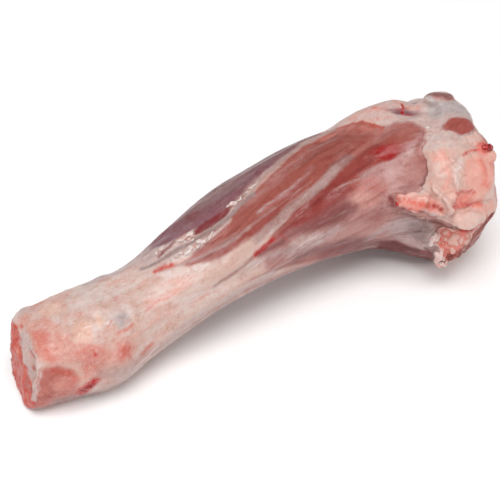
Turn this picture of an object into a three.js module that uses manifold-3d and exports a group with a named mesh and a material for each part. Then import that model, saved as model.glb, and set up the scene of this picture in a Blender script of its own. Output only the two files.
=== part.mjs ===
// Raw lamb knuckle: the hind shank of a lamb, from the hock cut to the cut through the knee, in one solid.
//
// The shank lies along X, hock end at -X and knee end at +X, resting on its hock and on the underside
// of the knee. Its near side, with the fat flap, faces -Y. Millimetres, +Z up, z = 0 is the surface
// it lies on, and the origin is on that surface under the middle of the shank.
//
// A place on the skin is given by two numbers: `along`, millimetres from the hock cut, and `around`,
// degrees about the middle line of the shank, 0 on top and positive towards the near side.

import * as THREE from "three";
import { mergeVertices } from "three/addons/utils/BufferGeometryUtils.js";
import Module from "manifold-3d";

// ---- Driving dimensions --------------------------------------------------------------------------

const LENGTH = 220; // hock cut to the end of the knee
const HOCK_CUT_X = -109.5; // where the hock cut lies

// Cross-sections of the shank: where its middle lies (side is Y, height is Z), its half sizes, and how
// square its outline is (2 is an ellipse, 3 a rounded box).
const SECTIONS = [
  { name: "hock cut", along: 0, side: -0.5, height: 16.2, halfWidth: 17.8, halfHeight: 17, square: 3 },
  { name: "hock", along: 30, side: -5.5, height: 19.6, halfWidth: 21, halfHeight: 19.8, square: 2.6 },
  { name: "ankle", along: 52, side: -2, height: 21.7, halfWidth: 19.5, halfHeight: 18, square: 2.4 },
  { name: "shin", along: 75, side: 1, height: 28.3, halfWidth: 20.5, halfHeight: 19.5, square: 2.2 },
  { name: "lower belly", along: 98, side: 5, height: 32.8, halfWidth: 22.5, halfHeight: 21, square: 2.2 },
  { name: "belly", along: 122, side: 9, height: 34.3, halfWidth: 24, halfHeight: 22.5, square: 2.1 },
  { name: "upper belly", along: 146, side: 11.5, height: 34.3, halfWidth: 27, halfHeight: 24.5, square: 2.1 },
  { name: "below the knee", along: 170, side: 10, height: 33, halfWidth: 29.5, halfHeight: 27.5, square: 2.2 },
  { name: "knee", along: 188, side: 0, height: 33.4, halfWidth: 34, halfHeight: 32.4, square: 2.15 },
  { name: "knee end", along: 206, side: 0, height: 32, halfWidth: 34, halfHeight: 32, square: 2.2 },
  { name: "cut end", along: 220, side: 1, height: 33, halfWidth: 34, halfHeight: 33.5, square: 2.3 },
];

// The knee end closes in a blunt dome that leans out at the top.
const KNEE_DOME = { start: 204, depth: 16, square: 2.6, rings: 10 };
const KNEE_LEAN = { top: 4, from: 180, to: 206 };

// The hock end is a flat cut with a small rounded rim. It leans: its near side and its lowest corner,
// the heel, stand further out. The lean fades out along the skin over `length`.
const HOCK_RIM = 2;
const HOCK_RINGS = [0, 0.2, 0.4, 0.58, 0.76, 0.9];
const HOCK_LEAN = { middle: -0.8, near: 2.2, up: -3.8, length: 28 };

// Rows of the skin: close together where the surface is lumpy.
const ROWS = [
  { from: HOCK_RIM, to: 40, step: 2.6 },
  { from: 40, to: 160, step: 3.4 },
  { from: 160, to: KNEE_DOME.start, step: 2.1 },
];
const AROUND_STEPS = 54;

// ---- Relief ---------------------------------------------------------------------------------------

// Swellings and dips: `long` by `wide` half sizes, the long axis turned from the shank's own by `turn`
// degrees, and `rise` above the plain skin.
const SWELLS = [
  // muscle bellies that show
  { name: "long outer belly", along: 112, around: -28, long: 62, wide: 17, turn: 0, rise: 1.6 },
  { name: "shin belly", along: 118, around: 24, long: 52, wide: 11, turn: -12, rise: 1.5 },
  { name: "knee belly", along: 163, around: 24, long: 32, wide: 13, turn: -30, rise: 2 },
  { name: "low belly", along: 148, around: 66, long: 40, wide: 14, turn: -8, rise: 1.8 },
  // muscle bellies of the far side and the underside
  { name: "far belly", along: 128, around: -85, long: 58, wide: 17, turn: 4, rise: 1.8 },
  { name: "back belly", along: 138, around: -140, long: 50, wide: 17, turn: -4, rise: 1.6 },
  { name: "under belly", along: 132, around: 125, long: 46, wide: 14, turn: 6, rise: 1.2 },
  // lumps of sheath and fat on the hock
  { name: "hock shoulder", along: 30, around: 10, long: 15, wide: 13, turn: 0, rise: 1.3 },
  { name: "hock side", along: 22, around: 48, long: 10, wide: 9, turn: 20, rise: 1.4 },
  { name: "hock flush", along: 33, around: 72, long: 9, wide: 8, turn: 0, rise: 0.9 },
  { name: "hock heel", along: 12, around: 95, long: 10, wide: 8, turn: 0, rise: 1.1 },
  { name: "hock dent", along: 14, around: 66, long: 7, wide: 5, turn: 40, rise: -1.4 },
  { name: "cut's far shoulder", along: 4, around: -62, long: 10, wide: 9, turn: 0, rise: 1.6 },
  { name: "hock far lump", along: 24, around: -70, long: 16, wide: 11, turn: 0, rise: 1.6 },
  { name: "heel hollow", along: 18, around: 122, long: 18, wide: 9, turn: 0, rise: -1.2 },
  { name: "hock back lump", along: 34, around: -150, long: 14, wide: 11, turn: 0, rise: 1.2 },
  // the top of the knee
  { name: "vessel recess", along: 191, around: -15, long: 8, wide: 4, turn: 8, rise: -3.6 },
  { name: "muscle window", along: 208.5, around: 12, long: 10, wide: 7, turn: 0, rise: -1.2 },
  { name: "kneecap", along: 185, around: -38, long: 22, wide: 17, turn: 0, rise: 5.5 },
  { name: "kneecap edge", along: 194, around: -33, long: 12, wide: 7, turn: 0, rise: 1.8 },
  { name: "knee crest", along: 212, around: -2, long: 13, wide: 15, turn: 0, rise: 1.8 },
  // the near side of the knee
  { name: "fat hollow", along: 183, around: 92, long: 12, wide: 6, turn: 35, rise: -4.5 },
  { name: "grey hollow", along: 174, around: 106, long: 11, wide: 10, turn: 0, rise: -2 },
  { name: "fat shoulder", along: 203, around: 52, long: 12, wide: 12, turn: 0, rise: 1.6 },
  { name: "under hollow", along: 166, around: 124, long: 12, wide: 10, turn: 0, rise: -1.8 },
  { name: "fat pad", along: 196, around: 87, long: 9, wide: 8, turn: 0, rise: 3 },
  { name: "low lobe", along: 191, around: 106, long: 7, wide: 8, turn: 0, rise: 2 },
  { name: "rim strip", along: 214, around: 92, long: 9, wide: 10, turn: 0, rise: 2 },
  { name: "far knee lobe", along: 196, around: -95, long: 14, wide: 15, turn: 0, rise: 2.4 },
  { name: "back knee lobe", along: 192, around: -150, long: 13, wide: 13, turn: 0, rise: 1.8 },
];

// Seams between muscles (below the skin) and tendons (above it), as lines of [along, around].
const STRANDS = [
  {
    name: "outer seam",
    points: [[50, -45], [74, -30], [86, -4], [104, 10], [124, 2], [148, -14], [172, -30]],
    wide: 4.5,
    rise: -1.5,
  },
  { name: "shin seam", points: [[70, 28], [92, 28], [112, 22], [134, 11]], wide: 3, rise: -0.6 },
  {
    name: "long tendon",
    points: [[44, 52], [72, 58], [95, 64], [111, 55], [128, 46], [142, 34], [157, 24]],
    wide: 6,
    rise: 1.3,
  },
  { name: "knee seam", points: [[134, 46], [152, 36], [170, 36], [182, 28]], wide: 4, rise: -1.3 },
  { name: "head seam", points: [[152, -20], [166, -12], [176, 0], [170, 14]], wide: 4, rise: -1.1 },
  { name: "lower tendon", points: [[36, 92], [66, 92], [96, 90], [128, 92], [158, 98]], wide: 6, rise: 0.8 },
  { name: "under seam", points: [[70, 112], [104, 106], [136, 104], [160, 110]], wide: 4.5, rise: -0.9 },
  { name: "far seam", points: [[60, -62], [96, -56], [132, -56], [166, -62]], wide: 5, rise: -1.2 },
  { name: "far tendon", points: [[34, -92], [70, -104], [104, -110], [150, -112]], wide: 7, rise: 1 },
  { name: "back seam", points: [[56, -172], [98, -176], [136, 178], [168, 172]], wide: 4.5, rise: -1.3 },
];

// The knee's fat coat: its edge is `along` at each `around`, and past the edge the skin stands proud.
// The spike near 65 degrees is the root of the torn flap.
const FAT_EDGE = [
  [-180, 186], [-120, 190], [-60, 196], [-20, 205], [14, 196], [22, 188], [31, 185], [49, 182],
  [58, 178], [64, 172], [72, 175], [80, 182], [90, 188], [100, 186], [124, 191], [150, 194], [180, 186],
];
const FAT_RISE = 3;
const FAT_SLOPE = 5; // the length over which the edge rises
const LOBE_SIZE = 17; // from one fat lobe to the next but one
const LOBE_RISE = 1.3;

// Loose lumps on the skin: ellipsoids with three half sizes (along the shank, around it, outwards),
// `lift` of their middle above the skin and `turn` of their long axis from the shank's.
const LUMPS = [
  { name: "torn flap", along: 175, around: 66, half: [10, 6, 3.2], lift: 0.9, turn: -6 },
  { name: "fat fold", along: 184, around: 68, half: [10, 3.8, 3.2], lift: 1.6, turn: 42 },
  { name: "clot knob", along: 213, around: 44, half: [3.5, 4, 4.5], lift: 1, turn: 0 },
  { name: "top flap", along: 210, around: -19, half: [10, 5.5, 3.2], lift: 0.4, turn: 18 },
  { name: "hanging scrap", along: 188, around: 122, half: [3.2, 4.5, 3.4], lift: 2, turn: 0 },
  { name: "scrap root", along: 186, around: 116, half: [3, 5.5, 2.6], lift: 1.8, turn: 0 },
];
const LUMP_STEPS = [14, 9];

// The cut face of the hock, looked at squarely: places as fractions of the half sizes, towards the near
// side and up. The far tissue stands out of the cut, and a pocket opens on the heel tendon's near side.
const CUT_FACE = [
  { name: "far tissue", from: [-0.5, 0.72], to: [-0.4, 0.2], wide: 0.5, rise: 3.4 },
  { name: "heel tendon", from: [0.1, 0.7], to: [0.36, -0.35], wide: 0.24, rise: 0.9 },
  { name: "heel pocket", from: [0.58, 0.5], to: [0.56, -0.25], wide: 0.27, rise: -4 },
];

// ---- Measures of the shank --------------------------------------------------------------------------

const sectionValues = new THREE.CubicInterpolant(
  SECTIONS.map((s) => s.along),
  SECTIONS.flatMap((s) => [s.side, s.height, s.halfWidth, s.halfHeight, s.square]),
  5,
);
const fatEdge = new THREE.LinearInterpolant(
  FAT_EDGE.map((point) => point[0]),
  FAT_EDGE.map((point) => point[1]),
  1,
);

function section(along) {
  const [side, height, halfWidth, halfHeight, square] = sectionValues.evaluate(
    THREE.MathUtils.clamp(along, 0, LENGTH),
  );
  return { side, height, halfWidth, halfHeight, square };
}

// Distance from the middle line to the plain skin, as a share of the half sizes.
function reach(degrees, square) {
  const angle = THREE.MathUtils.degToRad(degrees);
  return (Math.abs(Math.cos(angle)) ** square + Math.abs(Math.sin(angle)) ** square) ** (-1 / square);
}

// How far out the plain skin is on the dome of the knee, as a share of the section's size.
function domeShare(along) {
  const { start, depth, square } = KNEE_DOME;
  const run = THREE.MathUtils.clamp((along - start) / depth, 0, 1);
  return (1 - run ** square) ** (1 / square);
}

// A point of the plain skin, `share` of the way out from the middle line.
function skinPoint(along, around, share = domeShare(along)) {
  const { side, height, halfWidth, halfHeight, square } = section(along);
  const out = share * reach(around, square);
  const angle = THREE.MathUtils.degToRad(around);
  return new THREE.Vector3(
    along + HOCK_CUT_X,
    side - halfWidth * out * Math.sin(angle),
    height + halfHeight * out * Math.cos(angle),
  );
}

const turned = (degrees) => THREE.MathUtils.euclideanModulo(degrees + 180, 360) - 180;
const fade = (share) => (share < 1 ? (1 - share * share) ** 2 : 0);

// Distance from (u, v) to the line from (au, av) to (bu, bv).
function lineDistance(u, v, [au, av], [bu, bv]) {
  const ru = bu - au;
  const rv = bv - av;
  const t = THREE.MathUtils.clamp(((u - au) * ru + (v - av) * rv) / (ru * ru + rv * rv), 0, 1);
  return Math.hypot(u - au - t * ru, v - av - t * rv);
}

// ---- Relief at a place on the skin --------------------------------------------------------------------

function swellAt(swell, along, around, perDegree) {
  const run = along - swell.along;
  const arc = turned(around - swell.around) * perDegree;
  const turn = THREE.MathUtils.degToRad(swell.turn);
  const u = (run * Math.cos(turn) + arc * Math.sin(turn)) / swell.long;
  const v = (arc * Math.cos(turn) - run * Math.sin(turn)) / swell.wide;
  return swell.rise * fade(Math.hypot(u, v));
}

function strandAt(strand, along, around, perDegree) {
  let nearest = Infinity;
  const place = ([pointAlong, pointAround]) => [pointAlong, turned(pointAround - around) * perDegree];
  for (let i = 1; i < strand.points.length; i += 1) {
    const from = place(strand.points[i - 1]);
    const to = place(strand.points[i]);
    if (Math.abs(from[1] - to[1]) < 180 * perDegree) {
      nearest = Math.min(nearest, lineDistance(along, 0, from, to));
    }
  }
  return strand.rise * fade(nearest / strand.wide);
}

function fatAt(along, around) {
  const inside = along - fatEdge.evaluate(around)[0];
  const coat = THREE.MathUtils.smoothstep(inside, -FAT_SLOPE / 2, FAT_SLOPE / 2);
  const { x, y, z } = skinPoint(along, around);
  const turn = (2 * Math.PI) / LOBE_SIZE;
  const lobes =
    Math.sin(turn * x + Math.sin(turn * y * 0.6)) *
    Math.sin(turn * y + Math.sin(turn * z * 0.7)) *
    Math.sin(turn * z + Math.sin(turn * x * 0.8));
  return coat * (FAT_RISE * (1 - THREE.MathUtils.smoothstep(inside, 6, 22)) + LOBE_RISE * lobes);
}

function reliefAt(along, around) {
  const { halfWidth, halfHeight } = section(along);
  const perDegree = THREE.MathUtils.degToRad((halfWidth + halfHeight) / 2);
  let rise = fatAt(along, around);
  for (const swell of SWELLS) {
    rise += swellAt(swell, along, around, perDegree);
  }
  for (const strand of STRANDS) {
    rise += strandAt(strand, along, around, perDegree);
  }
  return rise;
}

// A place across the shank as fractions of the half sizes: towards the near side, and up.
function acrossAt(point, along) {
  const { side, height, halfWidth, halfHeight } = section(along);
  return { near: (side - point.y) / halfWidth, up: (point.z - height) / halfHeight };
}

// How far the leaning cut pushes the skin out, at `along` from it.
function leanAt({ near, up }, along) {
  const push = HOCK_LEAN.middle + HOCK_LEAN.near * near + HOCK_LEAN.up * up;
  return push * (1 - THREE.MathUtils.smoothstep(along, 0, HOCK_LEAN.length));
}

// How far the tissues stand out of the cut face.
function cutFaceAt({ near, up }) {
  return CUT_FACE.reduce(
    (rise, line) => rise + line.rise * fade(lineDistance(near, up, line.from, line.to) / line.wide),
    0,
  );
}

// ---- The skin ---------------------------------------------------------------------------------------------

// The outline that is turned about the middle line, from the centre of the hock cut to the tip of the knee.
function outline() {
  const points = HOCK_RINGS.map((share) => new THREE.Vector2(share, 0));
  for (const { from, to, step } of ROWS) {
    const count = Math.round((to - from) / step);
    for (let i = 0; i < count; i += 1) {
      points.push(new THREE.Vector2(1, from + ((to - from) * i) / count));
    }
  }
  const { start, depth, square, rings } = KNEE_DOME;
  for (let i = 0; i <= rings; i += 1) {
    const angle = (i / rings) * (Math.PI / 2);
    const share = i === rings ? 0 : Math.cos(angle) ** (2 / square);
    points.push(new THREE.Vector2(share, start + depth * Math.sin(angle) ** (2 / square)));
  }
  return points;
}

function merged(geometry) {
  geometry.deleteAttribute("normal");
  geometry.deleteAttribute("uv");
  return mergeVertices(geometry, 1e-4);
}

function skinGeometry() {
  const geometry = merged(new THREE.LatheGeometry(outline(), AROUND_STEPS));
  const position = geometry.getAttribute("position");
  const places = [];
  for (let i = 0; i < position.count; i += 1) {
    const [x, along, z] = [position.getX(i), position.getY(i), position.getZ(i)];
    const place = { along, around: THREE.MathUtils.radToDeg(Math.atan2(x, z)), share: Math.hypot(x, z) };
    const point = skinPoint(place.along, place.around, place.share);
    position.setXYZ(i, point.x, point.y, point.z);
    places.push(place);
  }
  geometry.computeVertexNormals();
  const normal = geometry.getAttribute("normal");
  for (let i = 0; i < position.count; i += 1) {
    const { along, around } = places[i];
    const point = new THREE.Vector3().fromBufferAttribute(position, i);
    const across = acrossAt(point, along);
    if (along > 0) {
      point.addScaledVector(new THREE.Vector3().fromBufferAttribute(normal, i), reliefAt(along, around));
    } else {
      point.x -= cutFaceAt(across);
    }
    point.x -= leanAt(across, along);
    point.x += KNEE_LEAN.top * across.up * THREE.MathUtils.smoothstep(along, KNEE_LEAN.from, KNEE_LEAN.to);
    position.setXYZ(i, point.x, point.y, point.z);
  }
  geometry.deleteAttribute("normal");
  return geometry;
}

// ---- Loose lumps --------------------------------------------------------------------------------------------

function lumpGeometry({ along, around, half, lift, turn }) {
  const geometry = merged(new THREE.SphereGeometry(1, ...LUMP_STEPS));
  const middle = skinPoint(along, around);
  const forward = skinPoint(along + 1, around).sub(skinPoint(along - 1, around)).normalize();
  const sideways = skinPoint(along, around + 2).sub(skinPoint(along, around - 2)).normalize();
  const out = new THREE.Vector3().crossVectors(forward, sideways).normalize();
  const centre = skinPoint(along, around, 0);
  out.multiplyScalar(Math.sign(out.dot(middle.clone().sub(centre))));
  forward.applyAxisAngle(out, THREE.MathUtils.degToRad(turn));
  sideways.crossVectors(out, forward);
  middle.addScaledVector(out, reliefAt(along, around) + lift);
  const place = new THREE.Matrix4().makeBasis(
    forward.multiplyScalar(half[0]),
    sideways.multiplyScalar(half[1]),
    out.multiplyScalar(half[2]),
  );
  return geometry.applyMatrix4(place.setPosition(middle));
}

// ---- Joining into one solid -------------------------------------------------------------------------------------

const wasm = await Module();
wasm.setup();

function solid(geometry) {
  return new wasm.Manifold(
    new wasm.Mesh({
      numProp: 3,
      vertProperties: geometry.getAttribute("position").array,
      triVerts: new Uint32Array(geometry.index.array),
    }),
  );
}

function joinedGeometry() {
  let whole = solid(skinGeometry());
  for (const lump of LUMPS) {
    whole = whole.add(solid(lumpGeometry(lump)));
  }
  const mesh = whole.getMesh();
  const corners = mesh.vertProperties.slice();
  for (let i = 2; i < corners.length; i += 3) {
    corners[i] = Math.max(corners[i], 0); // the meat flattens where it lies on the surface
  }
  return new THREE.BufferGeometry()
    .setAttribute("position", new THREE.BufferAttribute(corners, 3))
    .setIndex(new THREE.BufferAttribute(mesh.triVerts, 1));
}

const rawMeat = new THREE.MeshStandardMaterial({ color: 0xb87b70, roughness: 0.35, metalness: 0 });
const knuckle = new THREE.Mesh(joinedGeometry(), rawMeat);
knuckle.name = "knuckle";
knuckle.geometry.computeVertexNormals();

const lambKnuckle = new THREE.Group();
lambKnuckle.add(knuckle);

export default lambKnuckle;
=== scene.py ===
# %% [markdown]
# # A raw lamb knuckle
#
# The hind shank of a lamb, cut at the hock and through the knee. It is one piece of meat, but four
# things lie on each other and look different: the shank itself with its muscles, sheath and tendons,
# the fat coat that caps the knee, shreds of torn membrane, and clots of blood. Each gets a mesh of its
# own round the solid, because the edge of one on another is what the eye reads as thickness.

import copy
import math

import bmesh
import bpy
import numpy as np
from mathutils import Matrix, Vector, noise


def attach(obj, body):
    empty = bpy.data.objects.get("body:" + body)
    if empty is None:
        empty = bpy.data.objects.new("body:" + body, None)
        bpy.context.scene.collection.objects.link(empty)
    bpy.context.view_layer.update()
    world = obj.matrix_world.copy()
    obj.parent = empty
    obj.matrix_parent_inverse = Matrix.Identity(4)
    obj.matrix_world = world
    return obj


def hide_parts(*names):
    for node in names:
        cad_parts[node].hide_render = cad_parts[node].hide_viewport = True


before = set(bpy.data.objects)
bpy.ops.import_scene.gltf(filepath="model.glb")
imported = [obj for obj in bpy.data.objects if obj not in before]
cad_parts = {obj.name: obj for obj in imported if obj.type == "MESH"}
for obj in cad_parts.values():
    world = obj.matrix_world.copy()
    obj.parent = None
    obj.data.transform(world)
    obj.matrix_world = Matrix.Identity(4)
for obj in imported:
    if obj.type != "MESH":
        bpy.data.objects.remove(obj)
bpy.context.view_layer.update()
MM = 0.001

# %% [markdown]
# ## Places on the skin
#
# Every seam, streak and spot has to stay on its muscle, seen from any side. So a place is given as on a
# map: `along`, millimetres from the hock cut, and `around`, degrees about the middle line, 0 on top and
# positive towards the near side. The middle line wanders, as the leg does, so it is a short table.

# %% The middle line and the two cut faces
HOCK_CUT = -109.5  # x of the hock cut, mm
MIDDLE_LINE = [  # along, side, height, radius, in mm
    (0, -0.5, 16.2, 17.4),
    (30, -5.5, 19.6, 20.4),
    (52, -2, 21.7, 18.8),
    (75, 1, 28.3, 20),
    (98, 5, 32.8, 21.8),
    (122, 9, 34.3, 23.2),
    (146, 11.5, 34.3, 25.8),
    (170, 10, 33, 28.5),
    (188, 0, 33.4, 33.2),
    (206, 0, 32, 33),
    (220, 1, 33, 33.8),
]
HOCK_FACE = {"side": -0.5, "height": 16.2, "wide": 17.8, "tall": 17}
KNEE_FACE = {"side": 1, "height": 33, "wide": 34, "tall": 33.5}


def wrapped(degrees):
    return (degrees + 180) % 360 - 180


def share(value):
    """Clamps to 0..1."""
    return np.clip(value, 0, 1)


def smooth(value, low, high):
    """0 below low, 1 above high, and a smooth slope between."""
    t = share((value - low) / (high - low))
    return t * t * (3 - 2 * t)


class Skin:
    """Points of a surface in mm, with the place of each on the shank."""

    def __init__(self, points):
        self.points = points
        self.along = points[:, 0] - HOCK_CUT
        line = np.array(MIDDLE_LINE, float).T
        self.side, self.height, self.radius = (np.interp(self.along, line[0], row) for row in line[1:])
        out = np.stack([-(points[:, 1] - self.side), points[:, 2] - self.height])
        self.around = np.degrees(np.arctan2(out[0], out[1]))
        self.reach = np.hypot(out[0], out[1])
        self.per_degree = self.radius * math.pi / 180

    def across(self, around):
        """Millimetres round the shank from the line at `around` degrees."""
        return wrapped(self.around - around) * self.per_degree

    def distance(self, places):
        """Millimetres to the nearest point of a line of (along, around) places."""
        nearest = np.full(len(self.along), 1e3)
        places = list(places)
        if len(places) == 1:
            places = places * 2
        for (a0, b0), (a1, b1) in zip(places, places[1:]):
            across = self.across(b0)
            step = wrapped(b1 - b0) * self.per_degree
            run = a1 - a0
            t = share(((self.along - a0) * run + across * step) / (run * run + step * step + 1e-6))
            nearest = np.minimum(nearest, np.hypot(self.along - a0 - t * run, across - t * step))
        return nearest

    def line(self, places, half=1.0, soft=1.5):
        """1 on a line of places, 0 past its half width."""
        return share(0.5 + (half - self.distance(places)) / soft)

    def within(self, along, around, long, wide, turn=0):
        """Millimetres inside (above 0) an ellipse of half sizes long and wide, turned by `turn` degrees."""
        run = self.along - along
        arc = self.across(around)
        c, s = math.cos(math.radians(turn)), math.sin(math.radians(turn))
        r = np.hypot((run * c + arc * s) / long, (arc * c - run * s) / wide)
        return (1 - r) * min(long, wide)

    def patch(self, along, around, long, wide, turn=0, soft=2.0):
        return share(0.5 + self.within(along, around, long, wide, turn) / soft)

    def inside(self, places):
        """Millimetres inside (above 0) or outside (below 0) a closed outline of places."""
        middle = sum(p[1] for p in places) / len(places)
        around = middle + wrapped(self.around - middle)
        within = np.zeros(len(around), bool)
        ring = list(places) + [places[0]]
        for (a0, b0), (a1, b1) in zip(ring, ring[1:]):
            if b0 == b1:
                continue
            crosses = (b0 > around) != (b1 > around)
            within ^= crosses & (self.along < (a1 - a0) * (around - b0) / (b1 - b0) + a0)
        return np.where(within, 1, -1) * self.distance(ring)

    def area(self, places, soft=3.0):
        return share(0.5 + self.inside(places) / soft)

    def on_face(self, face):
        """Places on a cut face looked at squarely: fractions of its half sizes, near side and up."""
        near = -(self.points[:, 1] - face["side"]) / face["wide"]
        up = (self.points[:, 2] - face["height"]) / face["tall"]
        return near, up

    def lumps(self, size, seed=0.0, octaves=2, stretch=1.0):
        """Even noise from about -1 to 1, with swellings of about `size` mm, longer along the shank."""
        scale = np.array([1 / (size * stretch), 1 / size, 1 / size])
        found = [noise.fractal(Vector(p), 0.8, 2.1, octaves) for p in self.points * scale + seed]
        return np.array(found)

    def frayed(self, wide, size, stretch=1.0, seed=0.0):
        """The same points with their places shifted about, so that what is drawn on them has ragged edges."""
        moved = copy.copy(self)
        moved.along = self.along + wide * stretch * self.lumps(size, seed + 31, 2, stretch)
        moved.around = self.around + wide * self.lumps(size, seed + 43, 2, stretch) / self.per_degree
        return moved


# %% Shapes given by places
def stroke(places, half, soft):
    return lambda skin: skin.line(places, half, soft)


def field(places, soft):
    return lambda skin: skin.area(places, soft)


def spot(along, around, long, wide, turn, soft):
    return lambda skin: skin.patch(along, around, long, wide, turn, soft)


def speckled(shape, size, seed=0.0, stretch=1.0):
    """A shape broken up into blotches of about `size` mm."""
    return lambda skin: shape(skin) * share(0.8 + 0.6 * skin.lumps(size, seed, 2, stretch))


def dabs(places, half, soft, *blotches):
    return speckled(stroke(places, half, soft), *blotches)


def blots(places, soft, *blotches):
    return speckled(field(places, soft), *blotches)


# %% [markdown]
# ## Clay
#
# The solid is faceted. A copy of it is merged, subdivided once and remeshed into an even skin of
# quads, which can then be pushed in and out like clay. Remeshing is better here than subdividing
# alone: the torn flaps and scraps are fused into the skin and every part gets the same fine grid.


# %% Clay helpers
def new_object(name, bm):
    mesh = bpy.data.meshes.new(name)
    bm.to_mesh(mesh)
    bm.free()
    made = bpy.data.objects.new(name, mesh)
    bpy.context.scene.collection.objects.link(made)
    return made


def settle(piece):
    """Replaces a piece's mesh by what its modifiers make of it."""
    depsgraph = bpy.context.evaluated_depsgraph_get()
    depsgraph.update()
    made = bpy.data.meshes.new_from_object(piece.evaluated_get(depsgraph))
    piece.modifiers.clear()
    piece.data = made
    return piece


def remesh(piece, voxel, smoothing=4):
    """Turns overlapping closed shells into one even skin, with quads of `voxel` mm."""
    grid = piece.modifiers.new("grid", "REMESH")
    grid.mode = "VOXEL"
    grid.voxel_size = voxel * MM
    grid.use_smooth_shade = True
    if smoothing:
        relax = piece.modifiers.new("relax", "SMOOTH")
        relax.factor = 0.5
        relax.iterations = smoothing
    return settle(piece)


def read(mesh, what="co"):
    found = np.zeros(len(mesh.vertices) * 3, np.float32)
    if what == "co":
        mesh.vertices.foreach_get("co", found)
        return found.reshape(-1, 3).astype(float) / MM
    mesh.vertices.foreach_get("normal", found)
    return found.reshape(-1, 3).astype(float)


def push(piece, amount):
    """Moves every point of a piece along its normal by `amount` mm, and keeps it above the table."""
    points = read(piece.data) + read(piece.data, "normal") * np.asarray(amount)[:, None]
    points[:, 2] = np.maximum(points[:, 2], 0)
    place(piece, points)


def place(piece, points):
    piece.data.vertices.foreach_set("co", (points * MM).astype(np.float32).ravel())
    piece.data.update()


def melt(piece, weights, steps):
    """Smooths a piece where the weights are high, as clay is smoothed with a wet finger."""
    group = piece.vertex_groups.new(name="melted")
    for index in np.flatnonzero(weights > 0.02):
        group.add([int(index)], float(weights[index]), "REPLACE")
    finger = piece.modifiers.new("finger", "SMOOTH")
    finger.factor = 0.5
    finger.iterations = steps
    finger.vertex_group = group.name
    return settle(piece)


def from_middle(along, around, reach):
    """The point `reach` mm from the middle line at a place, and the direction outwards."""
    line = np.array(MIDDLE_LINE, float).T
    side, height = (np.interp(along, line[0], row) for row in line[1:3])
    turn = math.radians(around)
    out = Vector((0, -math.sin(turn), math.cos(turn)))
    return Vector((along + HOCK_CUT, side, height)) + out * reach, out


def add_ellipsoid(bm, centre, out, ahead, half, turn=0.0, detail=3):
    """Adds an ellipsoid: half sizes ahead, across and outwards in mm, turned about `out` in degrees."""
    c, s = math.cos(math.radians(turn)), math.sin(math.radians(turn))
    u = ahead * c + ahead.cross(out) * s
    v = out.cross(u)
    rows = [[u[i] * half[0], v[i] * half[1], out[i] * half[2], centre[i]] for i in range(3)]
    matrix = Matrix([[entry * MM for entry in row] for row in rows] + [[0, 0, 0, 1]])
    bmesh.ops.create_icosphere(bm, subdivisions=detail, radius=1, matrix=matrix)


def solid_copy():
    bm = bmesh.new()
    bm.from_mesh(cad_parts["knuckle"].data)
    bmesh.ops.remove_doubles(bm, verts=bm.verts, dist=0.001 * MM)
    return bm


def rounded(name, bm):
    """A copy of the solid with its facets subdivided away."""
    piece = new_object(name, bm)
    soften = piece.modifiers.new("soften", "SUBSURF")
    soften.levels = soften.render_levels = 1
    return settle(piece)


def keep_attribute(piece, name, values):
    """Stores one number or one vector for each point, for the piece's material to read."""
    kind = "FLOAT" if values.ndim == 1 else "FLOAT_VECTOR"
    stored = piece.data.attributes.new(name, kind, "POINT")
    key = "value" if kind == "FLOAT" else "vector"
    stored.data.foreach_set(key, np.ascontiguousarray(values, np.float32).ravel())


# %% [markdown]
# ## Where the fat begins
#
# Fat caps the knee. Its edge is a ragged line with one long torn tip that lies on the meat. The edge is
# `along` for each `around`. On top there is no fat, only the bare fascia, and a smooth oval window of
# muscle shows through it. The far end of the knee has a bare patch of muscle in a ring of fat.

# %% The fat's edge
FAT_EDGE = [  # around, along
    (-180, 187), (-120, 190), (-75, 196), (-62, 206), (-54, 232), (8, 232), (10, 220), (12, 200), (14, 192.5),
    (18, 188), (23, 185.5), (29, 184), (37, 183.2), (43, 182), (49, 180.5), (54, 179), (58, 177),
    (59.5, 171), (61, 167), (64, 166), (67, 166), (69.5, 167), (71.5, 170), (74, 175), (79, 181), (84, 185),
    (88, 187), (92, 186.5), (97, 184), (104, 183), (112, 183.5), (118, 186), (124, 190), (150, 194),
    (180, 187),
]
WINDOW = {"along": 207.6, "around": 15.4, "long": 8.7, "wide": 4.3, "turn": 7}
BARE_END = 0.42  # how far out the bare muscle of the cut end reaches, as a share of its half size
END_FROM = 208  # the cut end of the knee lies past this place along the shank, mm
RAGGED = 0.6  # how far the fat's edge wanders, mm


def end_radius(skin):
    """How far out a place of the knee's cut end is, as a share of its half size.

    Two waves round the end make what is drawn with it a little oval and a little three-cornered."""
    near, up = skin.on_face(KNEE_FACE)
    angle = np.arctan2(up, near)
    return np.hypot(near, up) * (1 + 0.13 * np.sin(2 * angle + 0.6) + 0.07 * np.sin(3 * angle + 2))


def fat_depth(skin):
    """Millimetres inside the fat's edge, below 0 outside it."""
    around, along = np.array(FAT_EDGE, float).T
    edge = np.interp(skin.around, around, along)
    slope = np.interp(skin.around + 1, around, along) - np.interp(skin.around - 1, around, along)
    slope = slope / 2 / skin.per_degree
    depth = (skin.along - edge) / np.sqrt(1 + slope * slope)
    depth = np.minimum(depth, -skin.within(**WINDOW))
    ring = (end_radius(skin) - BARE_END) * KNEE_FACE["wide"]
    depth = np.where(skin.along > END_FROM, np.minimum(depth, ring), depth)
    return depth + RAGGED * (skin.lumps(5, 3.0) + 0.5 * skin.lumps(1.8, 8.0, 1))


# %% [markdown]
# ## The shank
#
# The shank's mesh carries the muscles. Pale tendons stand a little proud, seams are pressed in, the hock
# is lumpy and its cut face has a pocket beside its tendon. Under the fat coat the skin sinks by two
# millimetres, so that the coat lies in it and not through it.

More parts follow.
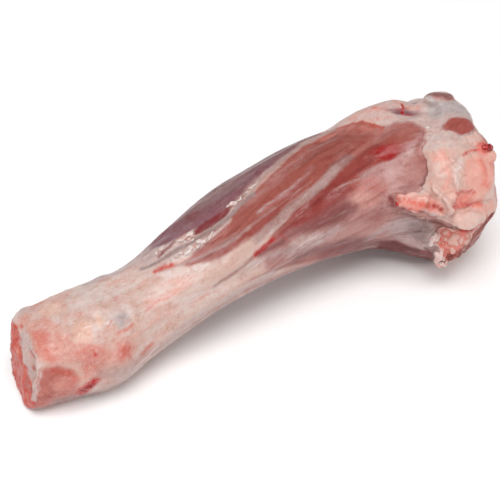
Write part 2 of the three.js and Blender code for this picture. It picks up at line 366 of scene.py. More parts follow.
# %% Lines and patches that shape and colour the shank
TENDON = [
    (88, 58), (94, 55), (102, 53), (109, 50), (116, 47), (124, 42), (131, 39), (140, 35), (149, 27),
    (157, 20),
]
LOW_TENDON = [(60, 78), (74, 82), (87, 86), (96, 89), (107, 92), (114, 90), (123, 88)]
OUTER_SEAM = [(58, -8), (66, -2), (74, 2), (84, 6), (96, 8), (108, 2), (122, -13), (138, -23), (159, -35)]
SHIN_SEAM = [(74, 31), (84, 38), (92, 41), (102, 41), (112, 37)]
HEAD_SEAM = [(157, 20), (165, 15), (172, 7), (178, -2), (183, -10)]
KNEE_SEAM = [
    (137, 43), (148, 43.5), (157, 41), (165, 36.5), (172, 31.5), (178, 28), (183, 23), (187, 16),
    (189, 8),
]
HEAD_ARC = [(167, -34), (171, -29), (175, -21), (178, -13), (178, -6), (176, -2)]
FAR_SEAM = [(60, -62), (96, -70), (132, -72), (166, -66)]
FAR_TENDON = [(30, -92), (70, -104), (104, -110), (160, -112)]
BACK_SEAM = [(56, -172), (98, -176), (136, 178), (172, 172)]
UNDER_SEAM = [(70, 130), (104, 126), (136, 128), (168, 134)]
GREY_LINE = [
    (57, -7), (62, 0), (67, 3.5), (71, 6.5), (76, 10), (82, 13.5), (90, 16), (95, 16), (100, 12),
    (104, 8), (112, 5),
]
SHIN_BAND = [
    (62, 17), (66, 22), (70, 27), (74, 31), (78, 34), (83, 37), (87, 39), (92, 40), (97, 40), (102, 39),
]
FINGER = [
    (62, 9), (67, 11), (70, 13), (74, 14.5), (80, 15.5), (85, 19), (88, 20), (91, 20.5), (97, 19),
    (97, 20.5), (91, 23), (86, 24.5), (80, 25.5), (73, 24), (68, 18), (64, 14),
]
TORN = [
    (190, 14), (192, 12), (197, 11), (199, 17), (204, 24), (206, 27), (200, 31), (194, 31), (190, 26),
    (189, 19),
]
RECESS = (192.5, -20, 6.5, 1.8, 26)  # along, around, half sizes, turn


# %% Shape the shank
SHANK_VOXEL = 0.77
bm = solid_copy()
point, out = from_middle(205, -21, 30.8)  # fills the step where the small flap on top begins
add_ellipsoid(bm, point, out, Vector((1, 0, 0)), (8, 5.5, 6.5))
shank = remesh(rounded("shank", bm), SHANK_VOXEL, 4)
flap_root = stroke([(199, -31), (203, -22), (204, -11)], 4, 5)
shank = melt(shank, flap_root(Skin(read(shank.data))), 24)
under_flap = spot(173, 67, 13, 9, 0, 4)  # the torn flap is made with the fat, and hangs over the meat
shank = melt(shank, under_flap(Skin(read(shank.data))), 90)


# %% Relief of the shank
SEAMS = [  # places, depth in mm
    (OUTER_SEAM, 0.8), (SHIN_SEAM, 0.3), (KNEE_SEAM, 0.5), (HEAD_SEAM, 0.5), (FAR_SEAM, 0.8),
    (BACK_SEAM, 0.8), (UNDER_SEAM, 0.7),
]
FORMS = [  # millimetres outwards, shape
    (0.6, stroke(TENDON, 1.4, 4)),
    (0.5, stroke(LOW_TENDON, 1.8, 5)),
    (0.6, stroke(FAR_TENDON, 2.6, 4)),
    *[(-depth, stroke(seam, 0.6, 4)) for seam, depth in SEAMS],
    (0.5, stroke(HEAD_ARC, 0.4, 2.5)),
    (1.4, spot(192.5, -12, 7, 4, 0, 5)),  # fills the hollow beside the recess
    (-0.55, spot(*RECESS, 2.8)),
    # the folds of torn fascia between the window and the fat
    (0.5, stroke([(189, 10), (196, 15), (205, 23)], 0.5, 2)),
    (0.5, stroke([(187, 17), (193, 23), (201, 27)], 0.5, 2)),
]
CRUMPLES = [  # low ridges of crumpled membrane, with knots on them
    (0.6, field(FINGER, 2)),
    (0.4, stroke([(62, -6), (68, 0), (76, 2), (80, 4)], 1.5, 2)),
]
HOCK_LUMPS = [(0.45, 7, 1.0), (0.2, 2.4, 5.0)]  # height, size in mm, seed
LONG_RIPPLES = [(0.25, 5, 2.0, 2, 6), (0.1, 1.6, 4.0, 1, 6)]  # the same, octaves, stretch
FAT_BED = 2.2  # how far the skin sinks under the fat coat, mm


def near_hock(skin):
    return 1 - smooth(skin.along, 38, 60)


def on_hock_cut(skin, normals):
    """1 on the flat cut face of the hock."""
    return smooth(-normals[:, 0], 0.55, 0.85) * (1 - smooth(skin.along, 4, 9))


def face_line(near, up, places, half, soft):
    """1 on a line of (near, up) places of the hock cut; half width and softness in mm."""
    size = (HOCK_FACE["wide"] + HOCK_FACE["tall"]) / 2
    nearest = np.full(len(near), 1e3)
    for (n0, u0), (n1, u1) in zip(places, places[1:]):
        run, rise = n1 - n0, u1 - u0
        t = share(((near - n0) * run + (up - u0) * rise) / (run * run + rise * rise))
        nearest = np.minimum(nearest, np.hypot(near - n0 - t * run, up - u0 - t * rise) * size)
    return share(0.5 + (half - nearest) / soft)


HEEL_TENDON = [(0.02, 0.8), (0.14, 0.45), (0.26, 0.1), (0.42, -0.4)]
HEEL_POCKET = [(0.44, 0.6), (0.62, 0.55), (0.74, 0.4), (0.74, 0.15), (0.66, -0.1)]
POCKET_LIP = [(0.6, 0.8), (0.78, 0.74), (0.9, 0.55), (0.9, 0.25), (0.8, -0.05), (0.56, -0.4)]


def cut_relief(skin):
    """The hock's cut face: a tendon stands out, with a pocket and its lip beside it."""
    near, up = skin.on_face(HOCK_FACE)
    rise = 0.4 * face_line(near, up, HEEL_TENDON, 1.6, 2.5)
    rise -= 2.6 * smooth(face_line(near, up, HEEL_POCKET, 1.0, 3.5), 0, 1)
    rise += 0.8 * face_line(near, up, POCKET_LIP, 0.5, 1.6)
    return rise + 0.6 * skin.lumps(3.2, 9.0, 3)


def heights(skin, forms):
    return sum(high * smooth(shape(skin), 0, 1) for high, shape in forms)


def ripples(skin, rows):
    return sum(high * skin.lumps(*how) for high, *how in rows)


def shank_relief(skin, normals):
    """Millimetres outwards at every point of the shank."""
    hock = near_hock(skin)
    rise = heights(skin, FORMS)
    rise += heights(skin, CRUMPLES) * (0.9 + 1.1 * skin.lumps(1.7, 12.0, 3))
    rise += heights(skin, [(0.5, field(TORN, 4))]) * skin.lumps(1.8, 14.0, 3)
    rise += hock * ripples(skin, HOCK_LUMPS) + (1 - hock) * ripples(skin, LONG_RIPPLES)
    return rise + on_hock_cut(skin, normals) * cut_relief(skin)


skin = Skin(read(shank.data))
depth = fat_depth(skin)
rise = shank_relief(skin, read(shank.data, "normal"))
rise = rise * (1 - smooth(depth, -1, 1)) - FAT_BED * smooth(depth, -0.4, 2.6)
push(shank, rise)
print("shank:", len(shank.data.vertices), "points,", rise.min().round(1), "to", rise.max().round(1), "mm")

# %% [markdown]
# ## Painting meat
#
# On the real meat colour changes with what covers the muscle: creamy sheath on the shin, silvery skin
# with a purple cast on the long outer muscle, nearly bare brick-red muscle on the bellies, mauve where
# the skin is thin, pale tendons, pink flushes and blood. Masks inside the material could tell them
# apart, but each would need its own nodes. Here the tissues are laid over one another as a painter
# would, from named colours and shapes given by places. With them go painted shade in hollows, under
# flaps and along the underside, and a few painted highlights. The result is stored as one colour for
# each point of the mesh. The material then adds what is finer than the mesh: fibres, flecks of fat with
# painted glints among them, and wetness.

# %% Colours
LAMPS = 1.1  # how much brighter a surface looks than its own colour, under the lamps below
GLOSS = 0.03  # what the wet shine adds to every colour


def rgb(red, green, blue):
    """A colour as it shows on a screen, 0 to 255, as the linear values that Blender mixes."""
    screen = (red / 255, green / 255, blue / 255)
    linear = [c / 12.92 if c <= 0.04045 else ((c + 0.055) / 1.055) ** 2.4 for c in screen]
    return (*linear, 1)


def seen(red, green, blue):
    """The colour of a wet surface that shows as this colour under the lamps."""
    return tuple(max(c - GLOSS, 0.004) / LAMPS for c in rgb(red, green, blue)[:3]) + (1,)


PAINT = {
    # sheath, membrane and tendon
    "cream": seen(212, 179, 167),
    "milk": seen(219, 199, 192),
    "white": seen(232, 220, 216),
    "peach": seen(227, 187, 169),
    "blush": seen(223, 166, 153),
    "salmon": seen(213, 120, 105),
    "tendon": seen(180, 149, 144),
    "dull tendon": seen(163, 124, 119),
    "silver": seen(194, 172, 170),
    "blue grey": seen(186, 175, 175),
    "shade": seen(192, 154, 145),
    "ash": seen(158, 136, 133),
    "fascia": seen(210, 183, 177),
    "grey fascia": seen(190, 179, 177),
    "tan": seen(172, 143, 138),
    # muscle
    "brick": seen(164, 94, 85),
    "pale brick": seen(184, 122, 115),
    "salmon brick": seen(195, 124, 113),
    "deep": seen(150, 70, 66),
    "crimson": seen(165, 48, 46),
    "strip": seen(136, 64, 67),
    "purple": seen(141, 98, 105),
    "plum": seen(134, 102, 102),
    "mauve": seen(190, 143, 138),
    "lilac": seen(199, 160, 160),
    "brick mauve": seen(191, 140, 133),
    "low pink": seen(141, 88, 87),
    "muted": seen(198, 124, 114),
    "raw": seen(204, 92, 80),
    "window": seen(171, 97, 90),
    "flap": seen(149, 106, 101),
    # fat
    "fat": seen(217, 183, 172),
    "pale fat": seen(223, 193, 183),
    "pink fat": seen(234, 168, 153),
    "red fat": seen(226, 110, 96),
    "rim": seen(146, 82, 78),
    # blood and shadow
    "red line": seen(199, 88, 77),
    "blood": seen(198, 24, 22),
    "clot": seen(160, 28, 30),
    "dark": seen(104, 58, 60),
    "brown": seen(116, 46, 44),
}
PAINT = {name: np.array(colour[:3]) for name, colour in PAINT.items()}


# %% Laying paint
def tinted(colour, paint, amount):
    return colour + (PAINT[paint] - colour) * amount[:, None]


def lay(colour, skin, layers):
    """Lays (paint, shape, amount) over a colour, one after another."""
    for paint, shape, amount in layers:
        colour = tinted(colour, paint, smooth(shape(skin), 0, 1) * amount)
    return colour


def blend(first, second, amount):
    return PAINT[first] + (PAINT[second] - PAINT[first]) * share(amount)[:, None]


# %% The muscles' outlines
SHIN_MUSCLE = [
    (70, 25), (74, 26), (77, 26), (75, 20), (77, 15), (84, 15.5), (90, 18), (96, 18), (100, 15), (104, 10),
    (109, 6.5), (114, 3), (119, -1), (125, -6), (131, -11), (138, -17), (147, -23), (159, -31), (166, -35),
    (171, -30), (175, -22), (178, -14), (179, -7), (177, 0), (172, 7), (165, 14), (157, 20), (149, 25),
    (142, 30), (136, 34), (128, 40), (119, 45), (111, 49), (103, 51), (95, 50), (88, 49), (82, 46), (77, 42),
    (73, 34),
]
BELLY = [
    (140, 35), (149, 28), (157, 21), (164, 13), (170, 5), (176, -2), (181, -8), (186, -11), (190, -7),
    (191.5, 1), (191.5, 10), (189, 15), (184, 22.5), (179, 27.5), (172, 31.5), (165, 36.5), (157, 41),
    (148, 43.5), (137, 43), (126, 50), (114, 58), (106, 62), (112, 57), (120, 50), (131, 42),
]
OUTER_MUSCLE = [
    (60, -24), (67, -14), (75, -5), (83, 0), (92, 3), (100, 4), (108, -1), (114, -7), (121, -12), (131, -15),
    (140, -24), (150, -33), (163, -42), (170, -56), (164, -66), (140, -68), (110, -70), (80, -66), (64, -50),
]
LOW_MUSCLE = [
    (102, 69), (110, 62), (118, 56), (126, 50), (137, 43), (148, 43.5), (157, 41), (165, 36.5), (172, 31.5),
    (179, 27.5), (184, 22.5), (189, 15), (195, 12), (192, 30), (188, 60), (190, 90), (190, 122), (170, 128),
    (146, 124), (128, 114), (114, 106), (106, 92),
]
FASCIA = [
    (160, -42), (166, -40), (172, -32), (177, -22), (181, -12), (187, -14), (192, -8), (193, 8), (199, 12),
    (240, 14), (240, -64), (200, -70), (180, -68), (165, -58),
]
FAR_MUSCLE = [
    (66, -90), (84, -80), (104, -75), (140, -75), (168, -72), (182, -80), (190, -92), (184, -102),
    (160, -107), (120, -107), (90, -104), (72, -98),
]
BACK_MUSCLE = [
    (64, -140), (78, -122), (100, -116), (140, -115), (172, -116), (192, -128), (195, -150), (188, -166),
    (150, -171), (110, -171), (84, -164), (70, -152),
]
UNDER_MUSCLE = [
    (68, 158), (84, 176), (130, 182), (180, 178), (196, 160), (190, 136), (140, 132), (100, 134), (78, 142),
]
MUSCLES = [SHIN_MUSCLE, BELLY, OUTER_MUSCLE, LOW_MUSCLE, FAR_MUSCLE, BACK_MUSCLE, UNDER_MUSCLE]

# %% Paint of the muscles
MUSCLE_PAINT = [
    ("purple", field(OUTER_MUSCLE, 2), 1),
    ("plum", dabs([(84, -24), (104, -24), (124, -26), (146, -38), (160, -48)], 5, 10, 9, 2, 2), 0.8),
    ("plum", field(FAR_MUSCLE, 6), 1),
    ("pale brick", blots(FAR_MUSCLE, 6, 7, 3, 3), 0.5),
    ("lilac", dabs([(90, -88), (120, -92), (150, -90), (178, -88)], 0.5, 3, 3, 4, 4), 0.7),
    ("brick", field(BACK_MUSCLE, 6), 1),
    ("mauve", blots(BACK_MUSCLE, 6, 8, 5, 3), 0.6),
    ("lilac", dabs([(84, -142), (120, -146), (160, -140)], 0.5, 3, 3, 6, 4), 0.7),
    ("low pink", field(UNDER_MUSCLE, 6), 1),
    ("mauve", field(LOW_MUSCLE, 4), 1),
    ("brick", field(SHIN_MUSCLE, 1.6), 1),
    ("brick", field(BELLY, 1.8), 1),
    ("strip", speckled(spot(86, -19, 4, 2, 10, 2), 2, 8), 0.5),
    # painted sheen: a pale tan line along the far upper side of the outer muscle
    ("tan", stroke([
        (80, -37), (88, -32), (97, -27), (107, -26), (118, -28), (132, -33), (146, -33),
    ], 0.7, 1.6), 0.8),
    # the shin muscle and its streaks
    # painted highlight: a broad pale band down the shin muscle
    ("pale brick", stroke([(110, 12), (124, 2), (138, -10), (150, -18)], 2.2, 5), 0.5),
    ("salmon brick", stroke([(158, -28), (167, -27), (172, -20), (176, -10)], 1.8, 4), 0.95),
    ("deep", stroke([(82, 42), (92, 45), (104, 44), (118, 38), (132, 28)], 1.4, 4), 0.7),
    ("lilac", dabs([(108, 31), (116, 29), (124, 28), (132, 22), (141, 14)], 0.9, 3, 2.5, 7, 5), 0.6),
    ("silver", dabs([(107, 31), (112, 28), (121, 27), (126, 25), (133, 20)], 0.3, 1, 2, 9, 4), 1),
    ("silver", stroke([(126, 33), (128, 31), (131, 30)], 0.1, 1), 0.7),
    ("silver", stroke([(136, 0), (142, -9), (146, -16)], 0.2, 1.1), 0.45),
    ("lilac", stroke([(120, 2), (128, -4), (136, -9)], 0.5, 2), 0.4),
    ("deep", stroke([(150, -6), (158, -10), (166, -14)], 1.5, 4), 0.4),
    # the belly beside it
    ("deep", stroke([(126, 49), (137, 46), (145, 41), (154, 36), (163, 31)], 2.2, 4), 0.85),
    ("deep", stroke([(146, 33), (154, 27), (162, 24), (170, 20)], 2, 5), 0.7),
    ("pale brick", field([(178, -4), (186, -8), (189, 0), (189, 9), (183, 12), (179, 4)], 6), 0.7),
    ("mauve", stroke([(176, -3), (181, -8), (187, -9), (190.5, -4), (191, 4), (190, 12)], 1.1, 3.5), 0.8),
    ("pale brick", stroke([(158, 20), (166, 13), (173, 4), (178, -4)], 1.2, 3), 0.75),
    ("red line", stroke(HEAD_ARC, 0.35, 1.3), 0.85),
    ("blood", stroke([(177, -12), (178.5, -7)], 0.2, 1.2), 0.55),
    # the low muscle under its thin skin
    ("deep", field([
        (108, 62), (118, 53), (124, 48), (129, 46), (137, 42), (148, 44), (156, 43), (153, 51), (144, 58),
        (137, 62), (128, 64), (118, 64),
    ], 4.5), 0.95),
    ("low pink", field([
        (110, 70), (119, 65), (128, 62), (137, 59), (146, 56), (151, 60), (151, 68), (146, 75), (138, 76),
        (128, 73), (119, 72),
    ], 5), 0.95),
    ("brick mauve", field([
        (188, 20), (188, 28), (185, 36), (182, 48), (177, 56), (171, 54), (174, 42), (180, 31),
    ], 3), 0.9),
    ("brick", stroke([(185, 26), (184, 34), (182, 42)], 1.8, 4), 0.5),
    ("lilac", dabs([(158, 50), (164, 46), (171, 42)], 2, 5, 1.6, 11), 0.5),
    ("salmon", blots([(151, 45), (160, 43), (168, 48), (166, 60), (157, 56)], 5, 1.4, 12), 0.4),
    ("blush", blots([(150, 53), (156, 52), (162, 58), (161, 67), (154, 69), (149, 63)], 5, 2.2, 13), 0.6),
    ("brick", blots([(153, 72), (161, 73), (168, 80), (165, 91), (157, 87)], 6, 5, 14), 0.5),
    ("low pink", stroke([(122, 96), (131, 99), (140, 100), (150, 103), (158, 108)], 3, 5), 0.85),
    # painted shade: darker bands along the underside, towards the bottom edge
    ("strip", stroke([(96, 112), (110, 116), (124, 118), (140, 120), (158, 122)], 1.6, 4), 0.6),
    ("low pink", stroke([(138, 112), (150, 114), (162, 124), (176, 130)], 5, 7), 0.9),
    ("silver", blots([
        (113, 81), (117, 78), (126, 75), (133, 76), (141, 77), (146, 79), (141, 85), (135, 89),
        (126, 92), (118, 89),
    ], 5, 5, 17, 2), 1),
    ("milk", dabs([(120, 77), (125, 79), (130, 82)], 2, 4, 2, 18), 0.8),
    ("silver", dabs([(133, 67), (141, 67), (149, 66)], 0.4, 2, 4, 16, 3), 0.6),
    ("silver", dabs([(92, 79), (104, 77), (112, 80), (120, 88)], 1.6, 4, 4, 15, 3), 0.8),
    ("silver", dabs([(159, 108), (163, 98), (167, 93), (173, 89)], 1.8, 4, 4, 19, 2), 0.9),
    ("deep", stroke([(97, 92), (105, 95), (113, 102), (122, 107), (133, 112), (146, 119)], 0.8, 3), 0.65),
    ("low pink", stroke([(103, 68), (110, 69), (115, 70)], 1.3, 2.5), 0.9),
    # the wavy edge of the skin between them
    ("lilac", stroke([(158, 38.5), (165, 35.5), (171, 32), (176, 28.5), (181, 23)], 0.4, 2), 0.6),
    ("lilac", stroke([(181, 21.5), (185, 16.5), (187.5, 10)], 0.8, 2.5), 0.6),
    ("crimson", spot(173, 24, 6.5, 3.4, -20, 4), 1),
    ("silver", dabs(KNEE_SEAM[1:], 0.2, 1, 1.6, 20), 0.9),
]

# %% Paint of the sheath, the tendons and the fascia
SHEATH_PAINT = [
    # the shin
    ("silver", stroke([(38, -42), (46, -50), (54, -52), (62, -46)], 4.5, 6), 0.95),
    ("silver", stroke([(44, -36), (54, -26), (62, -14), (68, -6)], 2.2, 4), 0.8),
    ("ash", dabs([(42, -42), (50, -46), (58, -42), (63, -26)], 1.6, 4, 4, 22, 2), 0.6),
    ("milk", stroke([(39, -19), (45, -17), (52, -13), (58, -5)], 0.7, 2.5), 0.9),
    ("silver", stroke([(60, 96), (80, 100), (96, 104), (110, 106)], 2, 5), 0.7),
    ("tan", stroke([(50, 106), (60, 110), (68, 115), (76, 117), (91, 114)], 1.8, 4), 0.75),
    ("milk", stroke([(66, 80), (76, 84), (88, 86)], 1.6, 4), 0.6),
    ("low pink", stroke([(80, 71), (86, 71.5), (93, 70), (99, 68)], 0.7, 2), 0.7),
    ("red line", stroke([(73, 75), (78, 77), (82, 81)], 0.1, 1.2), 0.6),
    ("blush", blots([(50, 42), (57, 38), (66, 38), (72, 48), (64, 53), (55, 51)], 6, 3, 26, 2), 0.7),
    ("salmon", stroke([(49, 47), (53, 45), (56, 46), (60, 50)], 0.2, 1.1), 0.8),
    ("salmon", dabs([(61, 50), (65, 50), (68, 53), (72, 52)], 0.3, 1.4, 1.4, 28), 0.5),
    ("salmon", stroke([(57, 76), (59, 75), (58, 78), (59, 83), (61, 87), (60, 93)], 0.1, 0.9), 0.5),
    ("milk", stroke([(66, 68), (74, 58), (86, 56)], 2.5, 5), 0.55),
    # tendons, which whiten towards the sheath
    ("dull tendon", stroke(TENDON[6:], 1.7, 2.2), 0.95),
    ("tendon", stroke(TENDON[2:9], 1.8, 2), 0.95),
    ("cream", stroke([(80, 60), (88, 58), (94, 56), (99, 55)], 2.4, 4), 0.95),
    ("tendon", stroke(FAR_TENDON, 1.8, 3), 0.9),
    ("silver", stroke(FAR_SEAM, 0.6, 2.5), 0.7),
    ("silver", stroke(BACK_SEAM, 1, 2.5), 0.7),
    ("silver", stroke(UNDER_SEAM, 1, 2.5), 0.7),
    # what lies between the outer muscle and the shin muscle
    ("tendon", stroke(SHIN_BAND, 0.6, 1.4), 0.9),
    ("tendon", stroke([(102, 39), (109, 36), (116, 35)], 0.35, 1.3), 0.8),
    ("tendon", stroke([(116, 35), (124, 34), (131, 30), (137, 27)], 0.15, 1.2), 0.6),
    ("strip", field([
        (79, -0.5), (85, -1.5), (90, -0.5), (95, 1.5), (101, 3), (99, 8), (94, 12), (88, 12), (80, 7),
    ], 1.2), 1),
    ("ash", stroke(GREY_LINE, 1.2, 1.4), 0.95),
    ("silver", stroke([(61, -6), (65, -1), (70, 2.5), (76, 6)], 0.5, 1.4), 0.7),
    ("tendon", stroke([(103, 5), (109, 1), (117, -5), (124, -10), (131, -15), (138, -20)], 1.4, 1.6), 0.9),
    ("milk", dabs([(109, 1), (117, -5)], 0.6, 1.4, 2, 20, 2), 0.6),
    ("tendon", stroke([(138, -20), (147, -26), (159, -34), (168, -37)], 0.8, 1.8), 0.85),
    ("milk", field(FINGER, 1.4), 0.95),
    ("silver", blots(FINGER, 1.4, 1.8, 24, 2), 0.4),
    ("milk", blots([(75, 0), (79, -2), (82, 1), (81, 7), (78, 9), (75, 6)], 1.6, 1.8, 21), 1),
    ("silver", field([(58, -27), (64, -30), (67, -20), (70, -11), (66, -8), (60, -10)], 2), 0.9),
    ("milk", dabs([(60, -20), (66, -18), (69, -11)], 0.7, 1.6, 1.8, 23), 0.8),
    ("milk", dabs([(60, -8), (66, -1), (72, 2)], 0.8, 1.6, 1.8, 25), 0.7),
    ("strip", stroke([(65, -4), (68, -4.5), (73, -5)], 0.6, 1), 0.9),
    # the hock
    ("blush", stroke([(6, -30), (14, -34), (24, -34)], 3, 6), 0.5),
    ("silver", blots([(6, -58), (12, -52), (17, -46), (13, -32), (9, -24), (5, -30)], 4, 3, 31), 0.5),
    ("salmon", stroke([(11, -42), (15, -39)], 0.6, 1.8), 0.7),
    ("peach", field([(12, -21), (17, -27), (22, -19), (20, -3), (13, -2)], 4), 0.8),
    ("milk", stroke([(24, 2), (30, 0), (38, 5), (46, 6)], 2.6, 4), 0.9),
    ("milk", stroke([(25, -1), (27, 13), (29, 24)], 2, 5), 0.7),
    ("peach", field([(20, 25), (24, 23), (26, 34), (24, 46), (19, 49), (17, 40)], 2.5), 0.9),
    ("peach", spot(29.5, 30, 1.6, 2.4, 0, 2), 0.9),
    ("blush", field([
        (5, -10), (12, -9), (15, 14), (15, 38), (12, 54), (8, 61), (4, 53), (3, 36), (3, 11),
    ], 5), 0.95),
    ("salmon", blots([(4, 6), (11, 8), (13, 34), (11, 54), (7, 58), (3, 40)], 5, 3, 27), 0.7),
    ("milk", dabs([(8, 2), (12, 20), (10, 36), (12, 50)], 1.6, 5, 1.3, 32), 0.5),
    ("salmon", stroke([(16, 33), (15, 39), (16, 43), (17, 48)], 0.4, 1.6), 0.8),
    ("salmon", stroke([(19, -11), (21, -11), (24, -10), (26, -4)], 0.1, 0.9), 0.5),
    ("salmon", stroke([(16, 30), (18, 26), (20, 23), (21, 18)], 0.1, 0.9), 0.5),
    ("blue grey", blots([(36, 34), (40, 34), (42, 42), (40, 50), (36, 50), (35, 42)], 3, 2.6, 38), 0.9),
    ("salmon", stroke([(35, 52), (38, 52.5), (41, 52)], 0.5, 1.8), 0.9),
    ("blood", stroke([(31, 40), (34, 36)], 0.15, 0.9), 0.8),
    ("blood", speckled(spot(40, 14, 1.6, 1.1, 0, 1.4), 1, 40), 0.4),
    ("blush", dabs([(13, 52), (22, 62), (36, 74), (30, 88), (16, 84)], 5, 9, 6, 42), 0.9),
    ("salmon", blots([
        (17, 51), (20, 50), (24, 51), (27, 57), (28, 68), (26, 79), (22, 85), (19, 77), (17, 65),
    ], 5, 1.1, 43), 1),
    ("raw", blots([(19, 56), (23, 55), (26, 62), (25, 70), (20, 70)], 4, 1.0, 44), 0.7),
    ("milk", blots([(18, 54), (26, 56), (28, 66), (24, 76), (19, 70)], 3, 0.6, 49), 0.35),
    ("blood", spot(23, 61.5, 0.8, 0.7, 0, 1.0), 0.9),
    ("salmon", stroke([(19, 72), (18, 86)], 0.2, 1.6), 0.7),
    ("salmon", blots([(30, 65), (34, 62), (38, 66), (40, 75), (37, 84), (32, 80)], 5, 1.1, 45), 0.9),
    ("raw", blots([(33, 67), (36, 66), (38, 72), (36, 78), (33, 74)], 3, 1.0, 46), 0.7),
    ("salmon", stroke([(43, 92), (45, 90), (48.5, 88.5)], 0.9, 2), 1),
    ("muted", field([
        (2, 64), (5, 61), (9, 64), (13, 73), (15, 83), (14, 92), (15, 100), (14, 112), (18, 122), (22, 132),
        (10, 142), (-6, 142), (-6, 90),
    ], 4), 1),
    ("brick", blots([(3, 62), (8, 62), (12, 69), (15, 79), (11, 82), (6, 76)], 4, 2.6, 48), 0.7),
    ("brick", dabs([(-3, 124), (0, 104), (5, 98), (3, 84)], 3, 6, 2.6, 50), 0.6),
    ("raw", dabs([(7, 66), (12, 74), (14, 84)], 1.2, 3, 2, 51), 0.6),
    ("tan", dabs([(-2, 132), (8, 124), (16, 124), (24, 130)], 2.4, 4, 3, 53), 0.8),
    ("blush", speckled(spot(9, 88, 5, 3, 0, 4), 2.4, 52), 0.5),
    ("shade", stroke([(24, 88), (32, 97), (40, 98), (48, 101)], 3, 7), 0.9),
    ("silver", blots([(26, 82), (32, 82), (38, 95), (43, 108), (38, 122), (28, 108)], 6, 6, 54), 0.5),
    ("silver", stroke([(24, 112), (32, 116), (44, 114), (60, 108)], 2.4, 6), 0.6),
    ("ash", stroke([(8, 120), (16, 126), (26, 133), (36, 130)], 3, 6), 0.7),
    # painted highlight: a thin white line low on the hock's near side
    ("white", stroke([(43, 107), (46, 103), (51, 98)], 0.6, 2), 0.7),
    ("blood", blots([
        (14, 111), (15, 99), (17, 95), (19, 92), (22, 90.5), (24.5, 94), (23, 101), (21, 110),
        (19, 118), (16, 119),
    ], 1.6, 1.1, 57), 1),
    ("clot", blots([(15, 111), (17, 101), (20, 96), (22, 101), (20, 110), (18, 114)], 2, 1.4, 56), 0.9),
    # the bare top of the knee
    ("fascia", field(FASCIA, 3), 1),
    ("blush", dabs([(172, -34), (179, -30), (186, -26)], 2, 4, 3, 35), 0.8),
    ("blush", stroke([(178, -19), (186, -16)], 0.8, 2.5), 0.5),
    ("milk", stroke([(184, -12), (191, -8), (198, -3)], 1.4, 3), 0.7),
    ("salmon", spot(183, -30, 1.2, 0.9, 0, 1.6), 0.9),
    ("grey fascia", field([
        (200, -8), (204, -18), (208, -12), (213, -9), (219, -4), (219, 8), (215, 9), (209, 5), (203, 2),
    ], 4), 0.95),
    ("flap", stroke([(203, -29), (206, -22), (209, -16.5), (213, -13.5), (218, -13)], 2.4, 2), 1),
    ("salmon", stroke([(206, -14), (209, -11), (213, -10.5), (217, -11.5)], 0.3, 1.4), 0.55),
    ("blush", spot(218.5, -13, 1.8, 1.6, 0, 2), 0.8),
    ("blush", dabs([(193, -30), (195, -25), (199, -20)], 1.6, 3, 2, 33), 0.8),
    # painted shade in the vessel's recess: purple, darkest along its middle
    ("purple", spot(192.5, -20, 6.6, 1.9, 26, 2.4), 0.9),
    ("dark", spot(192, -20, 4, 0.8, 24, 1.6), 0.4),
    ("blood", dabs([(195, -27), (194, -24), (192, -21), (191, -18.5)], 0.4, 1.2, 1.5, 36), 1),
    ("blood", dabs([(190, -24), (193, -23.5), (196, -22.5)], 0.3, 1.2, 1.5, 34), 0.8),
    ("blood", stroke([(191, -18.5), (195, -16)], 0.4, 1.4), 0.7),
    ("silver", spot(207.6, 15.4, 10, 5.6, 7, 2.5), 0.6),
    ("window", spot(207.6, 15.4, 8.7, 4.3, 7, 0.9), 1),
    ("white", blots(TORN, 3, 2, 37), 0.9),
    ("milk", field(TORN, 4), 0.5),
    ("red line", stroke([(192, 7), (194, 13)], 0.15, 0.9), 0.7),
    ("red line", stroke([(193, -4), (197, -0.5)], 0.15, 1), 0.6),
    # the soft tissue under the knee
    ("silver", field([
        (168, 84), (176, 82), (182, 88), (184, 98), (184, 112), (180, 120), (172, 116), (167, 102),
    ], 4), 0.85),
    ("ash", blots([(174, 88), (182, 90), (184, 104), (182, 114), (175, 106)], 4, 4, 39), 0.9),
    ("milk", dabs([(183, 92), (184, 97), (182, 106), (180, 120), (184, 124)], 0.8, 2, 1.8, 58), 0.8),
    # painted shade: small dark gaps in the grey tissue
    ("dark", stroke([(177.5, 101), (179.5, 97.5)], 0.3, 1.4), 0.9),
    ("dark", stroke([(181.5, 115), (183, 117)], 0.5, 1.4), 0.9),
    # painted shade under the torn flap's lower edge, then dark red with painted shadow left of its tip
    ("dark", stroke([(170, 76), (175, 81), (180, 87), (186, 90)], 0.8, 3), 0.8),
    ("strip", stroke([(166.5, 62), (166, 69)], 0.7, 1.8), 0.9),
    ("brown", field([
        (166, 121), (172, 118), (178, 120), (184, 118), (189, 124), (191, 142), (180, 150), (168, 142),
    ], 3), 0.9),
    # painted shade: darker dabs in the brown band
    ("dark", dabs([(172, 121), (178, 123), (184, 121)], 1.4, 2, 2, 41), 0.8),
    ("blood", stroke([(181, 122), (184, 124)], 0.4, 1.6), 0.6),
    # painted shadow: a thin dark line where the fat coat's edge lies on the muscle
    ("dark", stroke([(185.6, 31), (184.3, 37), (183, 43), (181.2, 50), (179, 56)], 0.4, 1.4), 0.8),
    # blood
    ("blood", dabs([(60, 11), (62, 13.5), (64.5, 16), (67, 20)], 0.9, 1.2, 1.4, 45), 1),
    ("salmon", stroke([(59, 10), (63, 16), (68, 22)], 0.6, 2), 0.5),
    ("blood", dabs([(100.5, 66), (104, 65), (107, 63.5), (110, 62)], 1.2, 1.2, 0.7, 43, 0.4), 1),
    ("clot", dabs([(100.5, 66.5), (104, 65.5), (107, 64), (109, 63)], 0.8, 1.2, 0.7, 44, 0.4), 0.9),
    ("blood", dabs([(110, 62), (114, 62), (117, 69)], 0.5, 1.6, 1.2, 47), 0.5),
